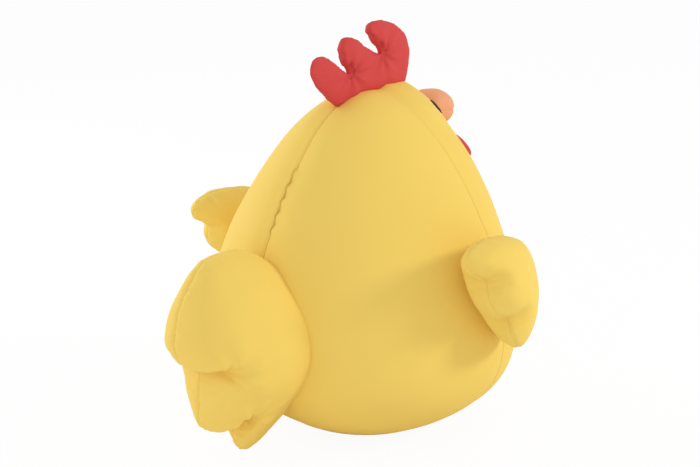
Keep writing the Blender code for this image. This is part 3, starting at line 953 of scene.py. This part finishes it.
@dataclass
class Pattern:
    """Flat cutting pattern of a limb: smooth spans that meet at corners, and how thick it is stuffed.

    The lean is the share of its thickness that the first panel gives up to the second. Soften is how
    many times the thickness is evened out over neighbouring points.
    """

    spans: list[Knots]
    thickness: float
    step: float = 0.004
    tuck: float = 0.62
    edge_round: float = 0.020
    edge_share: float = 1.2
    fullness: Knots = ((-1.0, 1.0), (1.0, 1.0))
    blur: float = 0.022
    blur_samples: int = 9
    lean: float = 0.0
    soften: int = 0
    thinnest: float = 1e-4
    join_power: float = 4.0

    def outline(self) -> Array:
        """Closed outline, turning left.

        Returns:
            Points as rows of two.
        """
        loop = np.concatenate([smooth_span(span, self.step)[:-1] for span in self.spans])
        x, y = loop[:, 0], loop[:, 1]
        area = np.sum(x * np.roll(y, -1) - np.roll(x, -1) * y)
        return loop if area > 0.0 else loop[::-1]

    def wrapped(self) -> Array:
        """Outline without its notches: the string pulled tight round it, in steps.

        Returns:
            Points as rows of two.
        """
        order = sorted(map(tuple, self.outline().tolist()))
        chains = []
        for run in (order, order[::-1]):
            chain: list[Span] = []
            for point in run:
                while len(chain) > 1 and turn_of(chain[-2], chain[-1], point) <= 0.0:
                    chain.pop()
                chain.append(point)
            chains.extend(chain[:-1])
        tight = np.array(chains + chains[:1])
        walk = walk_along(tight)
        return even_points(tight, walk, int(walk[-1] / self.step) + 1)[:-1]

    def depths(self, points: Array, loop: Array) -> Array:
        """How far points lie inside a loop, below nothing where they lie outside, by counting crossings.

        Args:
            points: Rows of two.
            loop: Closed loop of points.

        Returns:
            One distance for each point.
        """
        start, stop = loop, np.roll(loop, -1, axis=0)
        along = stop - start
        share = np.sum((points[:, None] - start) * along, axis=2) / np.sum(along * along, axis=1)
        foot = start + np.clip(share, 0.0, 1.0)[..., None] * along
        near = np.linalg.norm(points[:, None] - foot, axis=2).min(axis=1)
        above = (start[:, 1] > points[:, None, 1]) != (stop[:, 1] > points[:, None, 1])
        rise = np.where(np.abs(along[:, 1]) < TINY, TINY, along[:, 1])
        cross = start[:, 0] + (points[:, None, 1] - start[:, 1]) * along[:, 0] / rise
        crossings = np.sum(above & (points[:, None, 0] < cross), axis=1)
        return np.where(crossings % 2 == 1, near, -near)

    def sheet(self, loop: Array) -> tuple[Array, Array]:
        """Even triangles inside a loop.

        Args:
            loop: Closed loop of points.

        Returns:
            Points as rows of two, the loop first, and triangles.
        """
        low, high = loop.min(axis=0), loop.max(axis=0)
        x, y = np.meshgrid(np.arange(low[0], high[0], self.step),
                           np.arange(low[1], high[1], self.step * math.sqrt(0.75)))
        x = x + (np.arange(x.shape[0]) % 2)[:, None] * self.step / 2.0
        lattice = np.stack([x.ravel(), y.ravel()], axis=1)
        plane = np.concatenate([loop, lattice[self.depths(lattice, loop) > self.tuck * self.step]])
        edges = [list(range(len(loop)))]
        made = delaunay_2d_cdt([Vector(point) for point in plane], [], edges, 1, MERGE_GAP)
        return np.array([tuple(point) for point in made[0]]), np.array(made[2])

    def heights(self, plane: Array, loop: Array) -> Array:
        """Half thickness over the pattern: a membrane over its outline without notches, rounded at the seam.

        The membrane and a quarter-round of the distance from the seam are joined by a soft minimum.

        Args:
            plane: Points as rows of two.
            loop: The outline with its notches.

        Returns:
            One height for each point.
        """
        tight = self.wrapped()
        whole, triangles = self.sheet(tight)
        swell = membrane(whole, triangles, len(tight))
        tree = BVHTree.FromPolygons(np.column_stack([whole, swell]).tolist(), triangles.tolist())
        hits = [tree.ray_cast(Vector((x, y, RAY_HEIGHT)), -UP)[0] for x, y in plane]
        over = np.array([max(hit.z, self.thinnest) if hit else self.thinnest for hit in hits])
        inside = np.clip(self.depths(plane, loop) / self.edge_round, NEAR, 1.0)
        edge = self.edge_share * np.sqrt(1.0 - (1.0 - inside) ** 2)
        levels, shares = zip(*self.fullness)
        slim = np.mean([np.interp(plane[:, 1] + shift, levels, shares)
                        for shift in np.linspace(-self.blur, self.blur, self.blur_samples)], axis=0)
        joined = (over ** -self.join_power + edge ** -self.join_power) ** (-1.0 / self.join_power)
        return self.thickness * slim * joined

    def pillow(self) -> tuple[Array, Array]:
        """Two panels sewn at their edge and filled.

        Returns:
            Points and triangles of the closed pillow, with its seam at no height.
        """
        loop = self.outline()
        plane, triangles = self.sheet(loop)
        lift = self.heights(plane, loop)
        count, edge = len(plane), len(loop)
        lift[:edge] = 0.0
        for _ in range(self.soften):
            lift[edge:] = 0.5 * (lift + neighbour_mean(lift, triangles))[edge:]
        top = np.column_stack([plane, lift * (1.0 - self.lean)])
        bottom = np.column_stack([plane[edge:], -lift[edge:] * (1.0 + self.lean)])
        mirrored = np.where(triangles < edge, triangles, triangles - edge + count)[:, ::-1]
        return np.concatenate([top, bottom]), np.concatenate([triangles, mirrored])


def turn_of(first: Span, second: Span, third: Span) -> float:
    """Twice the area of a corner: above nothing where it turns left."""
    return ((second[0] - first[0]) * (third[1] - first[1])
            - (second[1] - first[1]) * (third[0] - first[0]))


def membrane(plane: Array, triangles: Array, edge: int) -> Array:
    """Root of the swell of an evenly loaded membrane, held at its edge: one at the highest point.

    Args:
        plane: Points as rows of two, the edge first.
        triangles: Rows of three corner numbers.
        edge: How many points are on the edge.

    Returns:
        One height for each point, from nothing to one.
    """
    corner = plane[triangles]
    side = np.roll(corner, -2, axis=1) - np.roll(corner, -1, axis=1)
    area = 0.5 * np.abs(side[:, 0, 0] * side[:, 1, 1] - side[:, 0, 1] * side[:, 1, 0])
    stiffness = np.zeros((len(plane), len(plane)))
    load = np.zeros(len(plane))
    for i in range(3):
        np.add.at(load, triangles[:, i], area / 3.0)
        for j in range(3):
            share = np.sum(side[:, i] * side[:, j], axis=1) / (4.0 * area)
            np.add.at(stiffness, (triangles[:, i], triangles[:, j]), share)
    free = np.arange(edge, len(plane))
    swell = np.zeros(len(plane))
    swell[free] = np.linalg.solve(stiffness[np.ix_(free, free)], load[free])
    return np.sqrt(np.clip(swell, 0.0, None) / swell.max())


@dataclass
class Limb:
    """A stuffed limb of two sewn panels: its pattern, place, puckers and the body that it moves with."""

    name: str
    body: str
    panels: tuple[str, str]
    stuffing: str
    pattern: Pattern
    placement: Matrix
    finish: Velour
    notches: Knots = ()
    lay: Lay = Lay.FLAT
    curl_radius: float = 0.088
    inner_side: float = 1.0
    seam_rows: tuple[float, ...] = (0.0007, 0.0016, 0.0032, 0.0060)
    seam_row_gap: float = 4e-4
    wear_steps: int = 6
    wear_smoothing: float = 0.15
    pressure: float = 4.0
    stiffness: float = 15.0
    bending: float = 0.5
    quality: int = 5
    frames: int = 20
    cap: float = 0.005
    seam_depth: float = 0.0011
    seam_width: float = 0.0018
    pucker_depth: float = 0.0003
    pucker_pitch: float = 0.014
    pucker_drift: Span = (1.3, 0.017)
    pucker_lag: float = 0.6
    pucker_fade: float = 0.007
    crease_depth: float = 0.0014
    crease_reach: float = 0.020
    crease_folds: float = 7.0
    crease_turn: float = 1.7
    crease_lag: float = 0.5
    crease_twist: float = 30.0
    crease_clear: Span = (0.001, 0.006)
    crease_start: Span = (0.001, 0.010)
    dimple_share: float = 1.2
    dimple_width: float = 0.008
    uneven: tuple[Span, ...] = ((0.0008, 0.055), (0.0003, 0.02))
    seed: int = 3
    bend: tuple[Vector, Vector] | None = None
    fill: float = 0.8
    search_parts: int = 40

    def build(self) -> list[Piece]:
        """Inflate the pattern, work the seams into it, and split it into panels and filling.

        Returns:
            The new objects.
        """
        form = self.inflate()
        core, core_triangles = mesh_arrays(form.data)
        points, triangles = self.refine(form)
        pieces = [self.build_filling(core, core_triangles)]
        upper = points[triangles].mean(axis=1)[:, 2] > 0.0
        worked = self.work_seams(points, triangles)
        pieces.append(self.build_panel(self.panels[0], worked, triangles[upper]))
        pieces.append(self.build_panel(self.panels[1], worked, triangles[~upper]))
        return pieces

    def inflate(self) -> Piece:
        """The sewn pillow, swollen by a short cloth simulation under pressure.

        Returns:
            Object with the swollen form, in the limb's own plane.
        """
        start, corners = self.pattern.pillow()
        piece = make_piece(self.name + "_form", start, corners, self.finish)
        self.simulate(piece)
        return piece

    def refine(self, piece: Piece) -> tuple[Array, Array]:
        """Subdivide the form once and cut rows beside its seam, fine enough to carry the stitching.

        Args:
            piece: Object with the swollen form, which is removed.

        Returns:
            Points and triangles in the limb's own plane.
        """
        fine = piece.modifiers.new("fine", "SUBSURF")
        fine.levels = 1
        fine.render_levels = 1
        finished_mesh(piece)
        work = bmesh.new()
        work.from_mesh(piece.data)
        for level in self.seam_rows:
            for height in (level, -level):
                everything = list(work.verts) + list(work.edges) + list(work.faces)
                bmesh.ops.bisect_plane(work, geom=everything, plane_co=UP * height, plane_no=UP,
                                       dist=self.seam_row_gap)
        bmesh.ops.triangulate(work, faces=work.faces)
        work.to_mesh(piece.data)
        work.free()
        points, triangles = mesh_arrays(piece.data)
        bpy.data.objects.remove(piece, do_unlink=True)
        return points, triangles

    def simulate(self, piece: Piece) -> None:
        """Let the cloth swell under even pressure, then cap how far each point has moved.

        Args:
            piece: Object with the pillow.
        """
        rest, _ = mesh_arrays(piece.data)
        group = piece.vertex_groups.new(name="sewn")
        group.add(np.nonzero(np.abs(rest[:, 2]) < NEAR)[0].tolist(), 1.0, "REPLACE")
        cloth = piece.modifiers.new("cloth", "CLOTH")
        cloth.settings.quality = self.quality
        cloth.settings.use_pressure = True
        cloth.settings.uniform_pressure_force = self.pressure
        cloth.settings.vertex_group_mass = "sewn"
        cloth.settings.tension_stiffness = self.stiffness
        cloth.settings.compression_stiffness = self.stiffness
        cloth.settings.bending_stiffness = self.bending
        cloth.settings.effector_weights.gravity = 0.0
        cloth.collision_settings.use_collision = False
        cloth.point_cache.frame_start = 1
        cloth.point_cache.frame_end = self.frames
        scene = bpy.context.scene
        for frame in range(1, self.frames + 1):
            scene.frame_set(frame)
        swollen, _ = mesh_arrays(finished_mesh(piece))
        scene.frame_set(1)
        move = swollen - rest
        length = np.maximum(np.linalg.norm(move, axis=1), TINY)
        LOG.info("%s swells by up to %.1f mm", self.name, 1000.0 * length.max())
        move *= np.minimum(1.0, self.cap / length)[:, None]
        piece.data.vertices.foreach_set("co", (rest + move).astype(np.float32).ravel())
        piece.data.update()

    def work_seams(self, points: Array, triangles: Array) -> Array:
        """Draw in the seam, pucker the cloth beside it, and crease it where the notches pull.

        The seam is a bell curve of the distance from the plane, puckers are a sine of the walk along the
        outline that dies away from the seam, and creases are a cosine of the angle round each notch.

        Args:
            points: Points of the swollen limb.
            triangles: Its triangles.

        Returns:
            The moved points.
        """
        normals = corner_normals(points, triangles)
        loop = self.pattern.outline()
        nearest = np.concatenate([np.argmin(np.linalg.norm(part[:, None] - loop, axis=2), axis=1)
                                  for part in np.array_split(points[:, :2], self.search_parts)])
        along = walk_along(loop)[nearest]
        away, side = np.abs(points[:, 2]), np.sign(points[:, 2])
        drift, drift_length = self.pucker_drift
        phase = FULL_TURN * along / self.pucker_pitch + drift * np.sin(along / drift_length)
        ripple = np.sin(phase + self.pucker_lag * side) * np.exp(-away / self.pucker_fade)
        offset = self.pucker_depth * ripple - self.seam_depth * bell(away, self.seam_width)
        pull = self.crease_depth * ramp(away, *self.crease_clear)
        for number, (x, y) in enumerate(self.notches):
            aside, up = points[:, 0] - x, points[:, 1] - y
            reach = np.hypot(aside, up)
            turn = self.crease_folds * np.arctan2(up, aside) + self.crease_turn * number
            fold = np.cos(turn + self.crease_lag * side + self.crease_twist * reach)
            fading = np.exp(-reach / self.crease_reach) * ramp(reach, *self.crease_start)
            offset += pull * (fold * fading - self.dimple_share * bell(reach, self.dimple_width))
        for number, (depth, length) in enumerate(self.uneven):
            offset += depth * soft_waves(points, length, self.seed + number)
        return points + normals * offset[:, None]

    def place(self, points: Array) -> Array:
        """Curl the limb if it curls, and carry it to where it is sewn on.

        A curled limb wraps its length round a cylinder on its inner side.

        Args:
            points: Points in the limb's own plane.

        Returns:
            Points in the frame.
        """
        if self.lay is Lay.CURLED:
            turn = points[:, 0] / self.curl_radius
            reach = self.curl_radius - self.inner_side * points[:, 2]
            points = np.stack([reach * np.sin(turn), points[:, 1],
                               self.inner_side * (self.curl_radius - reach * np.cos(turn))], axis=1)
        turned = np.array(self.placement)
        return points @ turned[:3, :3].T + turned[:3, 3]

    def build_filling(self, points: Array, triangles: Array) -> Piece:
        """Fibre filling: the form worn down under the cloth, a little at a time and smoothed each time.

        Args:
            points: Points of the swollen form in the limb's own plane.
            triangles: Its triangles.

        Returns:
            The new object.
        """
        inner = points.copy()
        for _ in range(self.wear_steps):
            inner = inner - FILL_DEPTH / self.wear_steps * corner_normals(inner, triangles)
            mean = neighbour_mean(inner, triangles)
            inner = (1.0 - self.wear_smoothing) * inner + self.wear_smoothing * mean
        piece = make_piece(self.name + "_filling", self.place(inner), triangles, FIBRE)
        face_out(piece.data, MERGE_GAP)
        return dress(piece, self.body, self.stuffing, self.bend)

    def build_panel(self, node: str, points: Array, triangles: Array) -> Piece:
        """One cloth panel: the limb's triangles on one side of the seam, given the cloth's thickness.

        Args:
            node: Solid that it stands for.
            points: Points in the limb's own plane.
            triangles: The panel's triangles.

        Returns:
            The new object.
        """
        used, compact = np.unique(triangles, return_inverse=True)
        outer = self.place(points[used])
        triangles = compact.reshape(-1, 3)
        inner = outer - CLOTH_THICKNESS * corner_normals(outer, triangles)
        sides = triangle_sides(triangles)
        known = set(map(tuple, sides.tolist()))
        border = np.array([side for side in sides.tolist() if (side[1], side[0]) not in known])
        size = len(outer)
        rim = np.column_stack([border[:, 1], border[:, 0], border[:, 0] + size, border[:, 1] + size])
        faces = triangles.tolist() + (triangles[:, ::-1] + size).tolist() + rim.tolist()
        piece = make_piece(node + "_cloth", np.concatenate([outer, inner]), faces, self.finish)
        return dress(piece, self.body, node, self.bend)


def square_frame(origin: Array, along: Vector, up: Vector) -> Matrix:
    """Placement whose x runs along and whose y runs up, square to it.

    Args:
        origin: Where the limb's own origin goes.
        along: Direction of its x.
        up: Rough direction of its y.

    Returns:
        The placement.
    """
    x = along.normalized()
    y = (up - x * up.dot(x)).normalized()
    turn = Matrix((x, y, x.cross(y))).transposed().to_4x4()
    return Matrix.Translation(Vector(origin)) @ turn


@dataclass
class Limbs:
    """Patterns and places of everything that is sewn on to the body."""

    form: BodyForm = field(default_factory=BodyForm)
    root_sink: float = 0.006
    comb_drop: float = 0.003
    tail_low: float = 0.044
    tail_high: float = 0.164
    tail_sink: float = 0.050
    tail_yaw: float = 5.0
    tail_fullness: Knots = ((-0.095, 0.36), (-0.045, 0.72), (-0.01, 0.98), (0.03, 0.86), (0.085, 0.5))
    wing_angle: float = 105.0
    wing_height: float = 0.140
    wing_span: float = 0.080
    wing_leave: float = 25.0
    wing_droop: float = 7.0
    wing_fullness: Knots = ((-0.055, 0.5), (-0.02, 0.85), (0.01, 1.0), (0.05, 0.95))
    wattle_angle: float = 167.0
    wattle_height: float = 0.248
    wattle_tilt: float = 14.0
    wattle_step: float = 0.005
    beak_height: float = 0.273
    beak_droop: float = 6.0
    beak_depth: float = 0.008
    root_points: int = 3
    comb_bend: Span = (0.006, 0.012)
    tail_bend: Span = (0.012, 0.030)
    wing_bend: Span = (0.008, 0.026)
    wattle_bend: Span = (0.003, 0.010)

    def bend(self, root: Sequence[float], outward: Vector, reach: Span) -> tuple[Vector, Vector]:
        """Where a sewn root starts and stops bending, along the direction in which the limb leaves."""
        return Vector(root) - outward * reach[0], Vector(root) + outward * reach[1]

    def comb(self) -> Limb:
        """Red comb of three lobes that lean back, sewn into the slit along the crown."""
        rear = ((0.034, -0.014), (0.050, -0.003), (0.063, 0.010), (0.066, 0.020), (0.061, 0.030),
                (0.051, 0.032), (0.038, 0.025), (0.022, 0.014))
        middle = ((0.022, 0.014), (0.030, 0.026), (0.032, 0.036), (0.027, 0.044), (0.018, 0.0445),
                  (0.002, 0.036), (-0.017, 0.027))
        front = ((-0.017, 0.027), (-0.007, 0.039), (-0.001, 0.048), (-0.005, 0.055), (-0.017, 0.0565),
                 (-0.036, 0.052), (-0.050, 0.041), (-0.055, 0.024), (-0.053, 0.006), (-0.049, -0.004))
        spans = [[(x, y + self.comb_drop) for x, y in span] for span in (rear, middle, front)]
        first, last = spans[2][-1], spans[0][0]
        rearward = np.linspace(first[0], last[0], self.root_points + 2)[1:-1]
        level = self.form.height - self.comb_drop
        under = self.form.top_line(rearward) - self.root_sink - level
        spans.append([first, *zip(rearward.tolist(), under.tolist()), last])
        root = Vector((0.0, 0.0, level))
        return Limb("comb", "comb", ("comb_left_panel", "comb_right_panel"), "comb_stuffing",
                    Pattern(spans, thickness=0.0098, step=0.0024, edge_round=0.012),
                    square_frame(root, REARWARD, UP), RED,
                    (spans[1][0], spans[2][0]), cap=0.003, seam_depth=0.0006, pucker_depth=0.0002,
                    crease_depth=0.0024, crease_reach=0.014, seed=11,
                    bend=self.bend(root, UP, self.comb_bend))

    def tail(self) -> Limb:
        """Tail of three drooping feathers, sewn upright on the back seam."""
        top = ((-0.016, 0.068), (0.010, 0.080), (0.032, 0.080), (0.046, 0.076), (0.058, 0.063),
               (0.069, 0.046), (0.074, 0.024), (0.074, 0.004), (0.067, -0.009), (0.050, -0.007))
        middle = ((0.050, -0.007), (0.054, -0.020), (0.055, -0.042), (0.054, -0.061), (0.046, -0.068),
                  (0.034, -0.067), (0.020, -0.058))
        low = ((0.020, -0.058), (0.022, -0.074), (0.018, -0.092), (0.009, -0.096), (-0.006, -0.087),
               (-0.020, -0.072), (-0.024, -0.056))
        centre = (self.tail_low + self.tail_high) / 2.0
        origin = self.form.point(0.0, centre)
        heights = np.linspace(self.tail_low, self.tail_high, self.root_points + 2)[1:-1]
        seat = self.form.point(np.zeros(self.root_points), heights)[:, 1] - origin[1] - self.tail_sink
        root = [low[-1], *zip(seat.tolist(), (heights - centre).tolist()), top[0]]
        frame = square_frame(origin, REARWARD, UP)
        frame = frame @ Matrix.Rotation(-math.radians(self.tail_yaw), 4, "Y")
        pattern = Pattern([top, middle, low, root], thickness=0.065, step=0.0035, edge_round=0.024,
                          lean=0.14, fullness=self.tail_fullness)
        return Limb("tail", "tail", ("tail_left_panel", "tail_right_panel"), "tail_stuffing", pattern, frame,
                    YELLOW, (middle[0], low[0]), cap=0.006, seam_depth=0.0013, crease_depth=0.0013,
                    crease_reach=0.024, seed=17, bend=self.bend(origin, REARWARD, self.tail_bend))

    def wing(self, which: Side) -> Limb:
        """Curled wing of three feathers, sewn into the side seam.

        Args:
            which: Left or right.

        Returns:
            The limb.
        """
        top = ((-0.004, 0.036), (0.026, 0.044), (0.060, 0.047), (0.090, 0.045), (0.106, 0.035),
               (0.103, 0.023), (0.087, 0.013))
        middle = ((0.087, 0.013), (0.089, 0.001), (0.083, -0.013), (0.073, -0.019), (0.061, -0.021))
        low = ((0.061, -0.021), (0.061, -0.033), (0.051, -0.045), (0.030, -0.050), (0.010, -0.047),
               (-0.004, -0.036))
        spans = [top, middle, low, (low[-1], (-self.root_sink, 0.0), top[0])]
        name = f"wing_{which.name.lower()}"
        half = self.wing_span / 2.0
        foot = self.form.point(which.value * self.wing_angle, self.wing_height - half)
        head = self.form.point(which.value * self.wing_angle, self.wing_height + half)
        leave = math.radians(self.wing_leave)
        upward = Vector(head - foot).normalized()
        outward = Vector((which.value * math.cos(leave), math.sin(leave), 0.0))
        outward = outward - upward * upward.dot(outward)
        origin = (foot + head) / 2.0
        frame = square_frame(origin, outward, upward)
        frame = frame @ Matrix.Rotation(-which.value * math.radians(self.wing_droop), 4, "Z")
        panels = (name + "_outer", name + "_inner")
        if which is Side.RIGHT:
            panels = panels[::-1]
        pattern = Pattern(spans, thickness=0.034, step=0.0035, edge_round=0.010, edge_share=1.0,
                          soften=3, fullness=self.wing_fullness)
        return Limb(name, name, panels, name + "_stuffing", pattern, frame, YELLOW, (middle[0], low[0]),
                    Lay.CURLED, inner_side=-which.value, cap=0.003, crease_depth=0.0003, crease_reach=0.014,
                    seed=23 if which is Side.LEFT else 29,
                    bend=self.bend(origin, outward.normalized(), self.wing_bend))

    def wattle(self, which: Side) -> Limb:
        """Small red drop that hangs on the chest from its top seam.

        Args:
            which: Left or right.

        Returns:
            The limb.
        """
        drop = ((-0.008, 0.001), (-0.011, -0.010), (-0.0125, -0.021), (-0.008, -0.030), (0.000, -0.033),
                (0.008, -0.030), (0.0125, -0.021), (0.011, -0.010), (0.008, 0.001))
        name = f"wattle_{which.name.lower()}"
        angle, height = which.value * self.wattle_angle, self.wattle_height
        root = self.form.point(angle, height)
        down = Vector(self.form.point(angle, height - self.wattle_step) - root).normalized()
        across = self.form.point(angle + 1.0, height) - self.form.point(angle - 1.0, height)
        frame = square_frame(root, Vector(-across), -down)
        frame = frame @ Matrix.Rotation(math.radians(-self.wattle_tilt), 4, "X")
        hang = frame.to_3x3() @ Vector((0.0, -1.0, 0.0))
        return Limb(name, name, (name + "_front", name + "_back"), name + "_stuffing",
                    Pattern([drop, (drop[-1], drop[0])], thickness=0.0090, step=0.0018, edge_round=0.010),
                    frame, RED, cap=0.0015, seam_depth=0.0008, pucker_depth=0.0002, seed=31,
                    bend=self.bend(root, hang, self.wattle_bend))

    def beak(self) -> Limb:
        """Blunt orange beak of an upper and a lower panel, sewn to the face all round."""
        edge = ((-0.022, 0.000), (-0.0215, 0.011), (-0.016, 0.025), (-0.008, 0.034), (0.000, 0.037),
                (0.008, 0.034), (0.016, 0.025), (0.0215, 0.011), (0.022, 0.000))
        back = -self.beak_depth
        spans = [edge, (edge[-1], (edge[-1][0], back)), ((edge[-1][0], back), (edge[0][0], back)),
                 ((edge[0][0], back), edge[0])]
        droop = math.radians(self.beak_droop)
        frame = square_frame(self.form.point(180.0, self.beak_height), Vector((-1.0, 0.0, 0.0)),
                             Vector((0.0, -math.cos(droop), -math.sin(droop))))
        return Limb("beak", "torso", ("beak_upper", "beak_lower"), "beak_stuffing",
                    Pattern(spans, thickness=0.0178, step=0.0022), frame, ORANGE, cap=0.0025,
                    seam_depth=0.0009, pucker_depth=0.0002, seed=37)

    def all(self) -> list[Limb]:
        """Every limb, in the order in which they are sewn on."""
        wings = [self.wing(which) for which in Side]
        wattles = [self.wattle(which) for which in Side]
        return [self.beak(), self.comb(), self.tail(), *wings, *wattles]


@dataclass(frozen=True)
class Lamp:
    """A square soft lamp: its place from the aim to the right, towards the camera and up, side and power."""

    name: str
    place: tuple[float, float, float]
    size: float
    power: float


@dataclass
class Studio:
    """Pale floor, soft lamps and the camera at the photograph's angle."""

    azimuth: float = 225.0
    elevation: float = 15.0
    distance: float = 1.2
    lens: float = 70.0
    sensor: float = 36.0
    aim_right: float = -0.0127
    aim_height: float = 0.1696
    floor_size: float = 14.0
    floor_drop: float = 0.0004
    floor_white: float = 0.95
    floor_roughness: float = 0.9
    floor_glow: float = 0.94
    world_light: float = 0.73
    lamps: tuple[Lamp, ...] = (Lamp("key_lamp", (1.8, 0.45, 0.75), 0.4, 12.0),
                               Lamp("fill_lamp", (-0.9, 1.4, 0.15), 1.4, 3.0),
                               Lamp("rim_lamp", (-1.3, -0.9, 0.8), 1.2, 10.0))

    def directions(self) -> tuple[Vector, Vector]:
        """Directions from the aim to the camera and to the camera's right."""
        turn, climb = math.radians(self.azimuth), math.radians(self.elevation)
        back = Vector((math.sin(turn) * math.cos(climb), -math.cos(turn) * math.cos(climb), math.sin(climb)))
        return back, Vector((math.cos(turn), math.sin(turn), 0.0))

    def build(self) -> None:
        """Make the floor, the world, the lamps and the camera."""
        self.build_floor()
        self.build_world()
        back, right = self.directions()
        aim = right * self.aim_right + UP * self.aim_height
        for lamp in self.lamps:
            aside, nearer, higher = lamp.place
            self.build_lamp(lamp, aim + right * aside + back * nearer + UP * higher, aim)
        camera = bpy.data.objects.new("camera", bpy.data.cameras.new("camera"))
        camera.data.lens = self.lens
        camera.data.sensor_width = self.sensor
        camera.data.sensor_fit = "HORIZONTAL"
        camera.location = aim + back * self.distance
        camera.rotation_euler = (-back).to_track_quat("-Z", "Y").to_euler()
        bpy.context.scene.collection.objects.link(camera)
        bpy.context.scene.camera = camera

    def build_lamp(self, lamp: Lamp, place: Vector, aim: Vector) -> None:
        """Set up a lamp.

        Args:
            lamp: Its name, size and power.
            place: Where it stands.
            aim: What it points at.
        """
        light = bpy.data.lights.new(lamp.name, "AREA")
        light.size = lamp.size
        light.energy = lamp.power
        stand = bpy.data.objects.new(lamp.name, light)
        stand.location = place
        stand.rotation_euler = (aim - place).to_track_quat("-Z", "Y").to_euler()
        bpy.context.scene.collection.objects.link(stand)

    def build_floor(self) -> None:
        """White floor that glows to the camera and still takes the object's shadow."""
        half, level = self.floor_size / 2.0, -self.floor_drop
        corners = [(x, y, level) for x, y in ((-half, -half), (half, -half), (half, half), (-half, half))]
        mesh = bpy.data.meshes.new("floor")
        mesh.from_pydata(corners, [], [(0, 1, 2, 3)])
        material = bpy.data.materials.new("floor_paper")
        material.use_nodes = True
        nodes, links = material.node_tree.nodes, material.node_tree.links
        shader = nodes["Principled BSDF"]
        shader.inputs["Base Color"].default_value = (*[self.floor_white] * 3, 1.0)
        shader.inputs["Roughness"].default_value = self.floor_roughness
        glow = nodes.new("ShaderNodeEmission")
        share = nodes.new("ShaderNodeMath")
        share.operation = "MULTIPLY"
        share.inputs[1].default_value = self.floor_glow
        links.new(nodes.new("ShaderNodeLightPath").outputs["Is Camera Ray"], share.inputs[0])
        mix = nodes.new("ShaderNodeMixShader")
        links.new(share.outputs[0], mix.inputs["Fac"])
        links.new(shader.outputs[0], mix.inputs[1])
        links.new(glow.outputs[0], mix.inputs[2])
        links.new(mix.outputs[0], nodes["Material Output"].inputs["Surface"])
        mesh.materials.append(material)
        floor = bpy.data.objects.new("floor", mesh)
        bpy.context.scene.collection.objects.link(floor)

    def build_world(self) -> None:
        """White world: full white to the camera, softer as light."""
        world = bpy.data.worlds.new("studio")
        bpy.context.scene.world = world
        world.use_nodes = True
        nodes, links = world.node_tree.nodes, world.node_tree.links
        background = nodes["Background"]
        background.inputs["Color"].default_value = (1.0, 1.0, 1.0, 1.0)
        seen = nodes.new("ShaderNodeMapRange")
        seen.inputs["To Min"].default_value = self.world_light
        seen.inputs["To Max"].default_value = 1.0
        links.new(nodes.new("ShaderNodeLightPath").outputs["Is Camera Ray"], seen.inputs["Value"])
        links.new(seen.outputs["Result"], background.inputs["Strength"])


def main() -> None:
    """Build every class in order and report each piece."""
    logging.basicConfig(level=logging.INFO, format="%(name)s: %(message)s")
    for old in list(bpy.data.objects):
        bpy.data.objects.remove(old, do_unlink=True)
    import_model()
    bpy.context.scene.view_settings.view_transform = "Standard"
    pieces = Torso().build()
    for limb in Limbs().all():
        pieces.extend(limb.build())
    for piece in pieces:
        LOG.info("%s has %d points", piece.name, len(piece.data.vertices))
    Studio().build()


if __name__ == "__main__":
    main()
